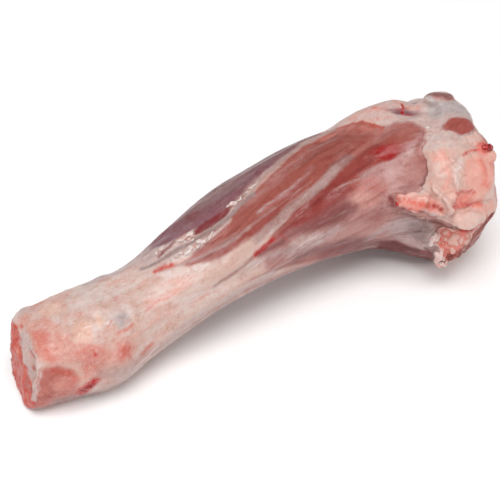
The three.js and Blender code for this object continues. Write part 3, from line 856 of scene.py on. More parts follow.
    ("red line", stroke([(118, 74), (122, 71)], 0.1, 1.2), 0.6),
]

# %% Paint of the two cut ends
RAW_EDGE = [(-1, 1.3), (-0.45, 1.0), (-0.3, 0.5), (0, 0.3), (0.2, 0.12), (0.5, -0.1), (0.8, -0.2)]  # up, near
END_SEAMS = [(0.35, 0.02), (-1.6, 0.1)]  # slope and height of the seams between the muscles cut at the knee


def near_end(skin):
    """1 on the bare muscle of the knee's cut end."""
    return smooth(BARE_END + 0.1 - end_radius(skin), 0, 0.05) * smooth(skin.along, END_FROM - 5, END_FROM)


def hock_end(skin):
    """Raw bone and marrow on the far side of an edge, the heel's fascia with its pocket on the near side."""
    near, up = skin.on_face(HOCK_FACE)
    raw = blend("raw", "salmon", 0.4 + 1.2 * skin.lumps(3, 45))
    raw = tinted(raw, "blood", 0.5 * share(3 * skin.lumps(2.2, 46) - 0.4))
    heel = blend("fascia", "muted", 0.9 * face_line(near, up, HEEL_POCKET, 0.6, 3.5))
    # painted shade deep in the pocket
    heel = tinted(heel, "dark", 0.5 * smooth(face_line(near, up, HEEL_POCKET[1:], 0.3, 2.5), 0, 1))
    heel = tinted(heel, "milk", 0.9 * face_line(near, up, POCKET_LIP, 0.4, 1.2))
    edge = near - np.interp(up, *zip(*RAW_EDGE)) + 0.1 * skin.lumps(4, 47)
    return raw + (heel - raw) * smooth(edge, -0.04, 0.08)[:, None]


def knee_end(skin):
    """Muscle cut across, with pale seams."""
    near, up = skin.on_face(KNEE_FACE)
    bare = blend("brick", "pale brick", 0.5 + skin.lumps(6, 48))
    for slope, shift in END_SEAMS:
        seam = np.abs(up - slope * near - shift + 0.06 * skin.lumps(6, 59)) / math.hypot(slope, 1)
        bare = tinted(bare, "lilac", 0.6 * (1 - smooth(seam, 0.01, 0.035)))
    return bare


def end_paint(colour, skin, normals):
    colour = colour + (hock_end(skin) - colour) * on_hock_cut(skin, normals)[:, None]
    return colour + (knee_end(skin) - colour) * near_end(skin)[:, None]


# %% Paint the shank
WINDING = 0.55  # how far the fibres wind round the shank, degrees for each mm
WOUND_FROM = 90  # where they begin to wind, mm along the shank


def shank_paint(skin, normals):
    hock = near_hock(skin)
    clouds = 1.5 * (hock * skin.lumps(6, 49, 3) + (1 - hock) * skin.lumps(3, 50, 3, 6))
    colour = blend("cream", "milk", 0.45 + clouds)
    colour = tinted(colour, "blush", 0.6 * share(1.4 * skin.lumps(5, 51, 3, 2) - 0.1))
    colour = lay(colour, skin.frayed(0.45, 3.5, 5), MUSCLE_PAINT)
    colour = lay(colour, skin.frayed(0.45, 2.6, 1.5, 3.0), SHEATH_PAINT)
    return end_paint(colour, skin, normals)


def muscle_share(skin):
    """How much bare muscle shows at each point, for its fibres."""
    found = np.maximum.reduce([skin.area(places, 4) for places in MUSCLES])
    found = np.maximum(found * (1 - skin.area(FASCIA, 4)), near_end(skin))
    return np.maximum(found, skin.patch(**WINDOW))


def grain(skin):
    """Straightened coordinates in mm whose first axis runs with the fibres.

    The muscles wind round the shank towards the knee, so each point is turned back by the winding."""
    turn = np.radians(skin.around + WINDING * np.maximum(skin.along - WOUND_FROM, 0))
    return np.stack([skin.along, skin.reach * np.sin(turn), skin.reach * np.cos(turn)], 1)


skin = Skin(read(shank.data))
keep_attribute(shank, "paint", shank_paint(skin, read(shank.data, "normal")))
keep_attribute(shank, "muscle", muscle_share(skin))
keep_attribute(shank, "grain", grain(skin))
print("painted with", len(MUSCLE_PAINT) + len(SHEATH_PAINT), "marks")

# %% [markdown]
# ## The fat coat
#
# The coat is cut from a copy of the same clay, so it fits the knee. The skin inside the fat's edge is
# kept and thickened into a closed shell. The torn flap, the rope-like fold, the pad below it and the
# scrap that hangs from it are added as turned ellipsoids. One remesh melts them together as soft fat
# does. A boolean union would leave hard creases where they meet.

# %% Cut the coat
FAT_VOXEL = 0.55
COAT_DEPTH = 3.0  # thickness of the shell, most of it below the skin, mm
COAT_FROM = 160  # nothing of the coat lies nearer the hock, mm

bm = solid_copy()
bmesh.ops.bisect_plane(
    bm,
    geom=bm.verts[:] + bm.edges[:] + bm.faces[:],
    plane_co=((COAT_FROM + HOCK_CUT) * MM, 0, 0),
    plane_no=(1, 0, 0),
    clear_inner=True,
)
bmesh.ops.holes_fill(bm, edges=[e for e in bm.edges if e.is_boundary], sides=0)
knee = remesh(rounded("knee", bm), FAT_VOXEL, 4)
depth = fat_depth(Skin(read(knee.data)))
bm = bmesh.new()
bm.from_mesh(knee.data)
outside = [v for v, d in zip(bm.verts[:], depth) if d < 0]
bmesh.ops.delete(bm, geom=outside, context="VERTS")
loose = [v for v in bm.verts if len(v.link_faces) < 2]
bmesh.ops.delete(bm, geom=loose, context="VERTS")
for _ in range(3):
    edge = [v for v in bm.verts if v.is_boundary]
    bmesh.ops.smooth_vert(bm, verts=edge, factor=0.5, use_axis_x=True, use_axis_y=True, use_axis_z=True)
bmesh.ops.recalc_face_normals(bm, faces=bm.faces)
bmesh.ops.solidify(bm, geom=bm.faces[:], thickness=COAT_DEPTH * MM)
print("coat shell:", len(bm.verts), "points")

# %% Set lumps on a surface
class Ground:
    """A surface that lumps can be set on."""

    def __init__(self, piece):
        self.skin = Skin(read(piece.data))
        self.normals = read(piece.data, "normal")

    def add_lump(self, bm, along, around, half, lift=0.0, turn=0.0, detail=3):
        """Adds an ellipsoid whose middle is `lift` mm above a place."""
        away = np.hypot(self.skin.along - along, self.skin.across(around))
        close = np.flatnonzero(away < max(0.8, away.min() + 0.1))
        seat = close[np.argmax(self.skin.reach[close])]
        out = Vector(self.normals[seat]).normalized()
        ahead = Vector((1, 0, 0))
        ahead = (ahead - out * ahead.dot(out)).normalized()
        add_ellipsoid(bm, Vector(self.skin.points[seat]) + out * lift, out, ahead, half, turn, detail)


# %% Lumps of fat
COAT_LUMPS = [  # along, around, half sizes, lift, turn
    # the torn flap: a tongue that thins to a ragged tip
    (172.5, 66, (6, 3, 1.3), 0, -6),
    (167.8, 61.5, (2.3, 1.5, 1.1), 0.2, 25),
    (167.4, 67, (2.2, 1.6, 1.1), 0.1, -20),
    (173, 71, (3.4, 1.3, 1.1), 0, -22),
    # small folds that hang from it
    (177.5, 73.5, (2.2, 1.6, 1.3), 0, 20),
    (181, 75, (1.8, 1.8, 1.4), 0, 0),
    # the rope-like fold that runs down from the flap's root
    (181.5, 59, (3.2, 1.3, 1.2), 0.7, 62),
    (182.5, 65, (3.2, 1.5, 1.4), 0.8, 68),
    (185, 72, (3.2, 1.7, 1.5), 0.8, 60),
    # the pad below it and its neighbours
    (193, 80, (6.6, 4.4, 2.2), 0.5, -8),
    (202, 82, (5, 4.6, 2.0), 0.2, -10),
    (188, 79, (3, 3.2, 1.8), 0.2, 0),
    # the fold of fat that ends in the clot knob
    (194.5, 45, (6, 1.4, 1.1), 0.6, 58),
    (190.5, 55, (4, 1.5, 1.0), 0.5, 85),
    (205, 36, (6, 1.8, 1.2), 0.3, -6),
    (212.5, 38, (3.2, 2.4, 1.8), 0.6, 0),
]
ground = Ground(knee)
for lump in COAT_LUMPS:
    ground.add_lump(bm, *lump)

# the hanging scrap: a crooked string of pale beads at the coat's edge
SCRAP = [(184, 99), (182.5, 103), (182, 107), (183, 110), (182.5, 113), (183, 117), (184.5, 120), (187, 120)]
for i in range(2 * len(SCRAP) - 1):
    ends = SCRAP[i // 2], SCRAP[(i + 1) // 2]
    along, around = (sum(pair) / 2 for pair in zip(*ends))
    wander = noise.noise(Vector((3.3, i * 0.9, 1.2)))
    half = (1.5 + 0.9 * wander, 1.5 - 0.9 * wander, 1.3)
    ground.add_lump(bm, along, around, half, lift=0.7, turn=70 * wander, detail=2)
bpy.data.objects.remove(knee)

coat = remesh(new_object("fat_coat", bm), FAT_VOXEL, 3)
print("coat:", len(coat.data.vertices), "points")


# %% Relief of the coat
CREASES = [  # places, half width, depth in mm
    ([(185, 48), (188, 45), (194, 42), (198, 39), (204, 37)], 0.3, 0.9),
    ([(189, 62), (188.5, 54), (190.5, 48)], 0.2, 0.7),
    ([(192.5, 50), (191.5, 54), (192, 60)], 0.2, 0.7),
    ([(185, 30), (190, 26), (196, 30), (204, 28)], 0.2, 0.6),
    ([(178, 57), (179.5, 61), (181, 66), (182.5, 72)], 0.3, 0.9),
    ([(197, 74), (203, 75), (211, 79)], 0.4, 1.0),
    ([(186, 75), (190, 74), (196, 75), (201, 78)], 0.4, 1.0),
    ([(186, 86), (191, 88), (197, 88), (204, 92)], 0.6, 1.5),
    ([(192, 61), (197, 67), (198, 73)], 0.3, 0.6),
    ([(196, 30), (203, 30), (209, 33)], 0.3, 0.8),
    ([(207, 28), (209, 34)], 0.3, 0.6),
    ([(191, 25), (197, 25), (204, 26)], 0.3, 0.6),
    ([(188, 116), (196, 113), (202, 106), (206, 98), (210, 90)], 0.5, 1.0),
]


def below_pad(skin):
    """1 where the small lobules hang."""
    low = smooth(skin.around, 86, 92) * (1 - smooth(skin.around, 119, 126))
    return low * (1 - smooth(skin.along, 199, 203)) * smooth(skin.along, 180, 186)


def lobules(skin, long, wide, seed):
    """Upright lobules of about these sizes in mm: 0 in the grooves between them, 1 on top."""
    wobble = 0.5 * skin.lumps(3, seed)
    across = skin.around * skin.per_degree
    places = np.stack([skin.along / long + wobble, across / wide, np.full(len(across), seed)], 1)
    found = []
    for place in places:
        near = noise.voronoi(Vector(place))[0]
        found.append(near[1] - near[0])
    return smooth(np.array(found), 0.02, 0.5)


def coat_relief(skin, beads, lobes):
    """Millimetres outwards: soft swellings, lobules and creases."""
    low = below_pad(skin)
    rise = 0.5 * skin.lumps(9, 2.0) + 0.08 * skin.lumps(1.3, 7.0, 1)
    rise += (1 - low) * (0.3 * skin.lumps(3.6, 6.0) + 0.1 * (lobes - 0.5)) + 1.3 * low * (beads - 0.5)
    torn = skin.frayed(0.4, 3)
    for crease, half, deep in CREASES:
        rise -= deep * smooth(torn.line(crease, half, 1.8), 0, 1)
    return rise


skin = Skin(read(coat.data))
beads = lobules(skin, 2.5, 5.5, 3.0)  # upright ones below the pad
lobes = lobules(skin, 4.5, 4.5, 7.0)  # round ones elsewhere
push(coat, coat_relief(skin, beads, lobes))

# %% Paint of the coat
RIM = [
    (211, 88.5), (207, 91), (203, 97), (197, 100), (192, 103), (189, 108), (187, 115), (189, 124), (197, 126),
    (205, 122), (211, 114), (215, 104), (215, 92),
]
COAT_PAINT = [
    ("pink fat", blots([(186, 32), (190, 30), (194, 33), (193, 40), (187, 42), (184, 38)], 4, 3, 1), 0.75),
    ("pale fat", stroke([(185, 40), (186, 50), (184, 56)], 1.6, 3), 0.7),
    ("pink fat", dabs([(188, 45), (188, 52), (186, 57)], 1.6, 3, 2.6, 2), 0.7),
    ("pale fat", stroke([(187, 24), (195, 24), (204, 26), (212, 27)], 2.6, 4), 0.9),
    ("milk", field([
        (185, 21), (192, 14), (200, 15), (205, 22), (206, 28), (199, 33), (190, 29), (185, 27),
    ], 3), 0.85),
    ("silver", dabs([(188, 24), (195, 21), (203, 25)], 2, 4, 2.4, 25), 0.6),
    ("fascia", stroke([(213, 16), (217, 20), (216, 28)], 2, 3), 0.7),
    ("pink fat", field([
        (199, 41), (206, 40), (212, 43), (214, 58), (211, 68), (203, 67), (197, 61), (195, 52),
    ], 5), 0.75),
    ("red fat", dabs([(207, 47), (208, 54), (206, 62), (208, 66)], 1.6, 3, 2.2, 3), 0.6),
    ("red fat", dabs([(213, 52), (214, 64)], 1.4, 3, 2.4, 4), 0.6),
    ("pale fat", stroke([(198, 41), (193, 46), (191, 53), (190, 61)], 1.8, 2.5), 0.95),
    ("white", stroke([(197, 42), (192, 48), (190.5, 54), (190, 60)], 0.7, 1.6), 0.8),
    ("silver", stroke([(192, 50), (191, 52), (190, 56)], 0.25, 1), 0.6),
    ("pink fat", stroke([(188, 63), (196, 67), (204, 68)], 3, 5), 0.6),
    ("red fat", dabs([(190, 66), (194, 67), (199, 68)], 1.6, 3, 2.2, 5), 0.7),
    ("red fat", dabs([(183, 68), (188, 72), (192, 72), (198, 75), (203, 75)], 1.6, 3, 1.8, 6), 0.95),
    ("blood", dabs([(189, 62.5), (194, 62.5), (200, 65)], 0.7, 1.5, 0.9, 7), 0.9),
    ("blood", dabs([(188, 70), (191, 70), (195, 72), (198, 74)], 1.2, 2.4, 0.9, 8), 0.65),
    # the flap
    ("pink fat", stroke([(168, 63), (173, 65), (180, 68)], 3, 4), 0.8),
    ("red fat", dabs([(167, 61), (172, 66), (178, 69)], 1.8, 3, 1.2, 9), 0.9),
    ("pale fat", dabs([(168, 61), (173, 62.5), (178, 65)], 0.9, 2, 1.4, 26), 0.7),
    ("blood", dabs([(166, 60), (165.5, 69)], 0.7, 1.4, 1.4, 10), 0.9),
    ("blood", dabs([(168, 69), (171, 70.5), (175, 73)], 0.5, 1.3, 1.8, 11), 0.95),
    ("milk", stroke([(173, 59), (176, 60), (180, 57)], 0.7, 1.6), 0.8),
    ("clot", dabs([(177, 69), (180, 68.5), (181, 71)], 0.8, 1.6, 2, 12), 0.9),
    ("silver", dabs([(176, 74), (180, 76), (183, 79)], 1.6, 2, 2, 13), 0.8),
    ("pale fat", stroke([(180.5, 57), (182, 62), (183, 68), (186, 75)], 1.2, 1.6), 0.95),
    # the pad and the lobules
    ("pale fat", stroke([(188, 79), (194, 80), (200, 82)], 3, 3), 0.95),
    ("pink fat", dabs([(202, 78), (209, 84)], 2.4, 4, 3, 14), 0.7),
    ("pink fat", stroke([(186, 100), (194, 102), (200, 104)], 6, 6), 0.35),
    # painted shade in the hollow between the pad and the lobules below it
    ("dark", stroke([(184, 84), (188, 88.5), (193, 88.5)], 0.5, 2), 0.8),
    ("blood", dabs([(190, 89), (195, 88), (200, 87.5), (207, 89)], 0.9, 1.6, 1.8, 15), 0.95),
    ("red fat", dabs([(198, 94), (204, 94)], 1.4, 3, 2, 16), 0.9),
    ("red fat", dabs([(186, 103), (186.5, 108), (185.5, 112)], 0.5, 1.4, 1.6, 17), 0.9),
    ("white", stroke(SCRAP, 1.6, 1.6), 0.75),
    # the ridge to the clot
    ("pale fat", stroke([(201, 31), (208, 30)], 1.8, 3), 0.8),
    ("blood", dabs([(200, 38.5), (204, 37), (209, 38)], 0.5, 1.2, 1.3, 18), 0.95),
    ("red fat", spot(212, 38, 3.6, 3, 0, 3), 0.9),
    ("blood", speckled(spot(213, 38, 2.6, 2.2, 0, 2), 1.4, 19), 0.9),
    # the cut rim
    ("rim", field(RIM, 1.2), 1),
    ("tendon", blots([(190, 103), (193, 100), (198, 104), (199, 112), (193, 109)], 1.4, 2, 20), 0.9),
    ("red line", stroke([(207, 90), (203, 97), (197, 100), (192, 103), (188, 112)], 0.3, 1.4), 0.6),
    ("brown", stroke([(194, 124), (203, 120), (211, 108), (215, 94)], 0.4, 1.8), 0.6),
    # sides that face away
    ("pink fat", dabs([(196, -90), (206, -110), (204, -150)], 7, 8, 6, 21), 0.7),
    ("red fat", dabs([(200, -100), (208, -112)], 3, 5, 3, 22), 0.8),
    ("red fat", dabs([(198, -142), (206, -152)], 3, 5, 3, 23), 0.7),
    ("red fat", dabs([(202, 150), (210, 166)], 3, 5, 3, 24), 0.7),
]


def coat_paint(skin, beads, lobes):
    colour = blend("fat", "pale fat", 0.6 + 1.3 * skin.lumps(5, 53, 3))
    colour = tinted(colour, "pink fat", 0.35 * share(1.5 * skin.lumps(3.2, 54, 3) - 0.3))
    # the end: pink clouds, a red ring round the bare muscle and a dark rim
    end = smooth(skin.along, END_FROM + 4, END_FROM + 9)
    near, up = skin.on_face(KNEE_FACE)
    colour = tinted(colour, "pink fat", 0.7 * end * share(0.4 + 2 * skin.lumps(9, 4.0)))
    for paint, from_ring, width in [
        ("red fat", end_radius(skin) - BARE_END - 0.1, 0.12), ("rim", np.hypot(near, up) - 0.93, 0.08),
    ]:
        colour = tinted(colour, paint, 0.8 * end * share(1 - np.abs(from_ring) / width))
    colour = lay(colour, skin.frayed(0.5, 2.2, 1, 5.0), COAT_PAINT)
    # blood stands in the grooves between lobules
    low = below_pad(skin)
    colour = tinted(colour, "red fat", 0.7 * low * (1 - smooth(beads, 0, 0.35)))
    return tinted(colour, "pink fat", 0.2 * (1 - low) * (1 - smooth(lobes, 0, 0.3)))


keep_attribute(coat, "paint", coat_paint(Skin(read(coat.data)), beads, lobes))

# %% [markdown]
# ## Torn membrane
#
# Where the skin between two muscles was torn, white shreds curl up along the seam. Each shred is a short
# string of flattened beads of uneven size, melted together by a fine remesh. A flat ribbon would look
# like paper, while beads give the crumpled, wet edge that torn membrane has.

# %% Shreds
SHREDS = [  # places, half width, thickness in mm, beads
    ([(63, -12), (68, -11)], 0.9, 0.3, 7),
    ([(75, 1), (79, -1), (81, 1)], 1.0, 0.4, 9),
    ([(77, 7), (80, 7.5)], 0.8, 0.3, 5),
    ([(98.5, 1), (102, 2.5), (104, 3)], 0.8, 0.55, 8),
    ([(105, 3), (107, 3)], 0.8, 0.55, 5),
    ([(109, 1), (113, -2), (117, -5)], 0.7, 0.3, 9),
    ([(68, 13), (74, 16.5), (80, 18), (86, 20.5)], 1.1, 0.3, 14),
    ([(72, 21), (80, 23.5), (86, 23)], 0.7, 0.25, 9),
    ([(193, 7), (196, 5)], 0.5, 0.35, 6),
    ([(84, -118), (92, -115)], 0.9, 0.4, 10),
]
SHRED_VOXEL = 0.26


def along_line(places, t):
    """The place a share t of the way along a line of places."""
    run = t * (len(places) - 1)
    i = min(int(run), len(places) - 2)
    return [a + (b - a) * (run - i) for a, b in zip(places[i], places[i + 1])]


bm = bmesh.new()
ground = Ground(shank)
for number, (places, wide, thick, beads) in enumerate(SHREDS):
    for i in range(beads):
        t = i / (beads - 1)
        jitter = [noise.noise(Vector((number * 3.1, i * 1.37, k * 5.3))) for k in range(4)]
        taper = 0.45 + 0.75 * math.sin(math.pi * min(max(t, 0.06), 0.94))
        along, around = along_line(places, t)
        ground.add_lump(
            bm,
            along + 0.9 * jitter[0],
            around + 2.4 * jitter[1],
            (1.5 * wide * taper * (1 + jitter[2]), 0.75 * wide * taper * (1 + jitter[3]), thick),
            lift=0.3 * abs(jitter[2]),
            turn=-22 + 60 * jitter[3],
            detail=2,
        )
shreds = remesh(new_object("membrane_shreds", bm), SHRED_VOXEL, 1)
print("shreds:", len(shreds.data.vertices), "points")

# %% [markdown]
# ## Clots
#
# Blood that has set is a dark, glassy bead. The largest sits on the knob of fat at the knee, others lie
# in the vessel's recess on top, at the tip of the torn flap and in the fold of sheath at the heel.

# %% Clots
CLOTS = {  # what they lie on: along, around, half sizes, lift, turn
    coat: [
        (214, 39.5, (2.6, 1.7, 1.1), 0.3, 20),
        (212, 37.5, (2.2, 1.2, 0.8), 0.1, 0),
        (166.2, 66, (0.8, 1.2, 0.5), 0.2, 0),
    ],
    shank: [
        (193.6, -24, (0.5, 1.6, 0.4), 0, 12),
        (191.8, -19.5, (1.3, 1.0, 0.5), 0, 0),
        (18.3, 107, (2.1, 1.5, 0.4), -0.1, -35),
        (16.6, 110, (1.2, 0.8, 0.35), -0.1, -30),
        (20.2, 100, (0.9, 0.6, 0.3), -0.1, -40),
    ],
}
bm = bmesh.new()
for under, group in CLOTS.items():
    ground = Ground(under)
    for clot in group:
        ground.add_lump(bm, *clot)
clots = remesh(new_object("clots", bm), 0.3, 1)
push(clots, 0.25 * Skin(read(clots.data)).lumps(1.6, 3.0))
print("clots:", len(clots.data.vertices), "points")

# %% [markdown]
# ## Finishes
#
# A material adds to the paint what is finer than the mesh. To write it as sums, one small class wraps a
# socket, so that `1 - mask * 0.5` adds the Math nodes by itself. Colours are mixed with Mix nodes, as a
# Math node would turn them grey.


# %% Shader sums
class Value:
    """The output of a node. Sums written with it add Math nodes to its material."""

    def __init__(self, recipe, socket):
        self.recipe = recipe
        self.socket = socket

    def math(self, operation, first, second=0.0):
        return self.recipe.add("ShaderNodeMath", {"operation": operation}, {0: first, 1: second})

    def __add__(self, other):
        return self.math("ADD", self, other)

    def __sub__(self, other):
        return self.math("SUBTRACT", self, other)

    def __mul__(self, other):
        return self.math("MULTIPLY", self, other)

    def __rsub__(self, other):
        return self.math("SUBTRACT", other, self)

    def __abs__(self):
        return self.math("ABSOLUTE", self)

    __radd__ = __add__
    __rmul__ = __mul__


class Recipe:
    """One material: its node tree and the ways to add to it."""

    def __init__(self, name):
        self.material = bpy.data.materials.new(name)
        self.material.use_nodes = True
        self.tree = self.material.node_tree
        self.tree.nodes.clear()

    def add(self, kind, settings=None, inputs=None, output=0):
        """Adds a node: its settings first, then the values or links of its sockets."""
        node = self.tree.nodes.new(kind)
        for name, value in (settings or {}).items():
            setattr(node, name, value)
        for key, value in (inputs or {}).items():
            if isinstance(value, Value):
                self.tree.links.new(node.inputs[key], value.socket)
            else:
                node.inputs[key].default_value = value
        return Value(self, node.outputs[output]) if node.outputs else None

    def stored(self, name, output=2):
        """An attribute of the mesh: 0 is its colour, 1 its vector and 2 its number."""
        return self.add("ShaderNodeAttribute", {"attribute_name": name}, output=output)

    def object_mm(self):
        """Object coordinates in millimetres."""
        place = self.add("ShaderNodeTexCoord", output=3)
        return self.add("ShaderNodeVectorMath", {"operation": "SCALE"}, {0: place, "Scale": 1 / MM})

    def stretched(self, vector, factors):
        return self.add("ShaderNodeVectorMath", {"operation": "MULTIPLY"}, {0: vector, 1: factors})

    def noise(self, vector, size, detail=3, roughness=0.55, distortion=0.0):
        """Noise from 0 to 1 with swellings of about `size` mm."""
        sockets = {
            "Vector": vector, "Scale": 1 / size, "Detail": detail, "Roughness": roughness,
            "Distortion": distortion,
        }
        return self.add("ShaderNodeTexNoise", {}, sockets)

    def cells(self, vector, size):
        """Distance to the nearest of scattered points, about `size` mm apart: 0 at a point."""
        return self.add("ShaderNodeTexVoronoi", {"feature": "F1"}, {"Vector": vector, "Scale": 1 / size})

    def step(self, value, low, high):
        """0 below low, 1 above high, with a smooth slope between."""
        sockets = {"Value": value, "From Min": low, "From Max": high}
        return self.add("ShaderNodeMapRange", {"interpolation_type": "SMOOTHSTEP"}, sockets)

    def over(self, under, colour, amount):
        """Lays a colour over another by an amount from 0 to 1."""
        sockets = {0: amount, 6: under, 7: colour}
        return self.add("ShaderNodeMix", {"data_type": "RGBA"}, sockets, output=2)

    def stain(self, under, colour, amount):
        """Multiplies a colour by another by an amount from 0 to 1."""
        sockets = {0: amount, 6: under, 7: colour}
        return self.add("ShaderNodeMix", {"data_type": "RGBA", "blend_type": "MULTIPLY"}, sockets, output=2)

    def finish(self, colour, roughness, bumps, **constants):
        """Joins the Principled shader. `bumps` are (height, depth in mm) pairs."""
        normal = None
        for height, depth in bumps:
            sockets = {"Height": height, "Strength": 1.0, "Distance": depth * MM}
            if normal is not None:
                sockets["Normal"] = normal
            normal = self.add("ShaderNodeBump", {}, sockets)
        sockets = {"Base Color": colour, "Roughness": roughness, "Normal": normal}
        sockets.update({name.replace("_", " "): value for name, value in constants.items()})
        shader = self.add("ShaderNodeBsdfPrincipled", {}, sockets)
        self.add("ShaderNodeOutputMaterial", {}, {"Surface": shader})
        return self.material


# %% [markdown]
# ## Meat
#
# Over the paint go fibres that run with the grain stored in the mesh, darker and paler by turns where
# muscle shows, fine blotches where blood stands in the tissue, hair-thin vessels on the sheath, and
# flecks of fat with painted glints among them. The surface is wet: a clear coat over a soft, slightly
# see-through body.

# %% The shank's material
DARK_FIBRE = rgb(214, 190, 188)  # stains, which darken what they lie on
BLOOD_BLOTCH = rgb(236, 206, 200)
BLOOD_GRIT = rgb(226, 178, 170)
VESSEL = rgb(214, 128, 112)
PALE_FIBRE = rgb(208, 160, 154)  # veils, which lie over the paint
VEIL = rgb(226, 204, 198)
SHEATH_STREAK = rgb(232, 218, 212)
# pale flecks: fat specks and painted glints
FAT_FLECK_AND_GLINT = rgb(236, 222, 214)
WET = {
    "Coat_Weight": 0.25,
    "Coat_Roughness": 0.14,
    "Subsurface_Weight": 0.18,
    "Subsurface_Radius": (1.0, 0.35, 0.25),
    "Subsurface_Scale": 0.0025,
    "Specular_IOR_Level": 0.25,
}


def meat_material():
    m = Recipe("raw_meat")
    place = m.object_mm()
    fibre = m.stored("grain", 1)
    muscle = m.stored("muscle")
    strands = m.noise(m.stretched(fibre, (0.06, 1, 1)), 0.9, 3, 0.6)
    streaks = m.noise(m.stretched(fibre, (0.05, 0.5, 0.5)), 1.6, 3, 0.6)
    blotch = m.noise(place, 3.0, 4, 0.65)
    mottle = m.noise(place, 8, 3, 0.6)
    speck = m.noise(place, 0.7, 2, 0.5)
    colour = m.stored("paint", 0)
    # muscle: darker and paler fibres
    colour = m.stain(colour, DARK_FIBRE, m.step(streaks, 0.45, 0.72) * muscle * 0.8)
    tufts = strands + (mottle - 0.5) * 0.5
    colour = m.over(colour, PALE_FIBRE, m.step(tufts, 0.58, 0.8) * muscle * 0.28)
    # everywhere: blotches, faint on the sheath
    colour = m.stain(colour, BLOOD_BLOTCH, m.step(blotch, 0.48, 0.72) * 0.6)
    colour = m.over(colour, VEIL, m.step(1 - blotch, 0.56, 0.74) * (1 - muscle * 0.7) * 0.22)
    grit = m.noise(place, 1.1, 4, 0.7)
    colour = m.stain(colour, BLOOD_GRIT, m.step(grit, 0.5, 0.68) * 0.35)
    # thin streaks along the sheath
    colour = m.over(colour, SHEATH_STREAK, m.step(strands, 0.6, 0.75) * (1 - muscle) * 0.35)
    # vessels: where a twisted noise passes its middle value, and only here and there
    twist = m.noise(m.stretched(place, (0.7, 1, 1)), 7, 2, 0.5, 1.2)
    vessel = (1 - m.step(abs(twist - 0.5), 0.0, 0.006)) * m.step(m.noise(place, 9, 1), 0.54, 0.62)
    colour = m.stain(colour, VESSEL, vessel * (1 - muscle) * 0.7)
    # flecks of fat, with painted glints among them
    fleck = m.step(speck + (blotch - 0.5) * 0.3, 0.72, 0.78)
    colour = m.over(colour, FAT_FLECK_AND_GLINT, fleck * (1 - muscle * 0.9) * 0.4)
    roughness = 0.4 + (blotch - 0.5) * 0.3
    bumps = [(blotch, 0.25), (strands, 0.14), (speck, 0.07)]
    return m.finish(colour, roughness, bumps, **WET)


shank.data.materials.append(meat_material())


# %% [markdown]
# ## Fat
#
# Raw fat is a heap of tiny lobules, which show as a fine network of pits, whiter on the lobules and
# pinker between them where blood has soaked in.

# %% The coat's material
def fat_material():
    m = Recipe("raw_fat")
    place = m.object_mm()
    speck = m.noise(place, 0.8, 3, 0.6)
    small = m.noise(place, 1.8, 4, 0.65)
    lobule = m.cells(m.stretched(place, (1, 1, 0.8)), 1.5)
    colour = m.stored("paint", 0)
    colour = m.stain(colour, rgb(242, 200, 190), m.step(small, 0.5, 0.74) * 0.4)
    colour = m.stain(colour, rgb(244, 220, 214), m.step(lobule, 0.4, 0.8) * 0.2)
    colour = m.over(colour, rgb(240, 222, 214), m.step(speck, 0.62, 0.74) * 0.4)
    roughness = 0.42 + (small - 0.5) * 0.3
    bumps = [(small, 0.2), (speck, 0.1)]
    return m.finish(colour, roughness, bumps, **WET)


coat.data.materials.append(fat_material())


# %% [markdown]
# ## Membrane and blood
#
# Membrane is a thin wet greyish white, pink where it lies on meat. Set blood is deep red and glassy.

# %% The small materials
def membrane_material():
    m = Recipe("torn_membrane")
    place = m.object_mm()
    cloud = m.noise(place, 1.5, 3, 0.6)
    colour = m.over(rgb(186, 160, 155), rgb(222, 206, 200), m.step(cloud, 0.35, 0.62))
    colour = m.stain(colour, rgb(226, 170, 160), m.step(m.noise(place, 2.5, 2), 0.5, 0.65) * 0.7)
    return m.finish(colour, 0.35 + cloud * 0.1, [(cloud, 0.2)], **WET)


def clot_material():
    m = Recipe("set_blood")
    place = m.object_mm()
    cloud = m.noise(place, 1.8, 3, 0.6)
    colour = m.over(rgb(106, 8, 12), rgb(190, 26, 26), m.step(cloud, 0.35, 0.65))
    wet = {**WET, "Coat_Weight": 0.5, "Coat_Roughness": 0.12}
    return m.finish(colour, 0.25 + cloud * 0.1, [(cloud, 0.2)], **wet)


shreds.data.materials.append(membrane_material())
clots.data.materials.append(clot_material())

# %% [markdown]
# ## One object
#
# Everything rides on the one body, and the shank stands for the solid, with the other pieces on it.

# %% Join the frame
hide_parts("knuckle")
for piece in (shank, coat, shreds, clots):
    for polygon in piece.data.polygons:
        polygon.use_smooth = True
    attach(piece, "root")
    print(piece.name, len(piece.data.polygons), "faces")

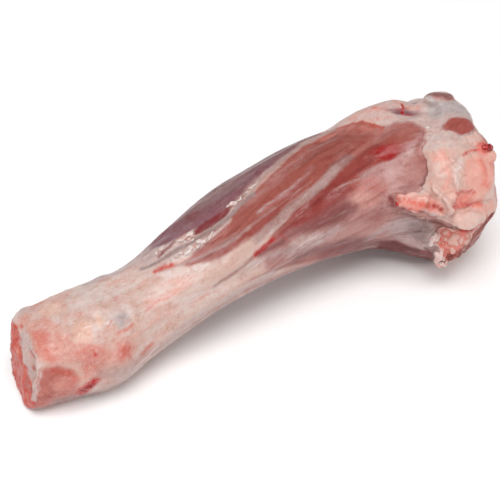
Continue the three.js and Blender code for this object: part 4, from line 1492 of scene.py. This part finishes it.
# %% [markdown]
# ## Table, light and camera
#
# The meat was lit from above by something large and soft, on white. The camera looks down at forty
# degrees from thirty degrees to the left of the shank's side, through a long lens.

# %% Table
bm = bmesh.new()
bmesh.ops.create_grid(bm, x_segments=1, y_segments=1, size=3)
table = new_object("table", bm)
top = Recipe("pale_table")
grain_of_top = top.noise(top.object_mm(), 40, 1)
table.data.materials.append(top.finish(rgb(252, 252, 252), 0.9, [(grain_of_top, 0.01)]))

# %% Camera
CAMERA = {"azimuth": -30, "elevation": 40, "distance": 0.598, "lens": 100}
TARGET = Vector((-0.0004, 0.003, 0.0273))
azimuth, elevation = (math.radians(CAMERA[key]) for key in ("azimuth", "elevation"))
back = Vector((
    math.sin(azimuth) * math.cos(elevation),
    -math.cos(azimuth) * math.cos(elevation),
    math.sin(elevation),
))
lens = bpy.data.cameras.new("camera")
lens.lens = CAMERA["lens"]
lens.clip_start = 0.01
camera = bpy.data.objects.new("camera", lens)
camera.location = TARGET + back * CAMERA["distance"]
camera.rotation_mode = "QUATERNION"
camera.rotation_quaternion = (-back).to_track_quat("-Z", "Y")
bpy.context.scene.collection.objects.link(camera)
bpy.context.scene.camera = camera

# %% Light
LIGHTS = [  # name, place in metres, size in metres, watts
    ("overhead", (-0.3, -0.45, 1.7), 1.2, 26),
    ("left_fill", (-0.9, -0.6, 0.5), 0.5, 2.2),
    ("right_fill", (0.7, -0.8, 0.45), 0.5, 1.8),
    ("back_edge", (0.1, 0.9, 0.6), 0.5, 1.2),
]
for name, where, size, watts in LIGHTS:
    lamp = bpy.data.lights.new(name, "AREA")
    lamp.size = size
    lamp.energy = watts
    holder = bpy.data.objects.new(name, lamp)
    holder.location = where
    holder.rotation_mode = "QUATERNION"
    holder.rotation_quaternion = (TARGET - Vector(where)).to_track_quat("-Z", "Y")
    bpy.context.scene.collection.objects.link(holder)
world = bpy.data.worlds.new("studio")
world.use_nodes = True
world.node_tree.nodes["Background"].inputs["Color"].default_value = (1, 1, 1, 1)
world.node_tree.nodes["Background"].inputs["Strength"].default_value = 0.3
bpy.context.scene.world = world
bpy.context.scene.view_settings.view_transform = "Standard"
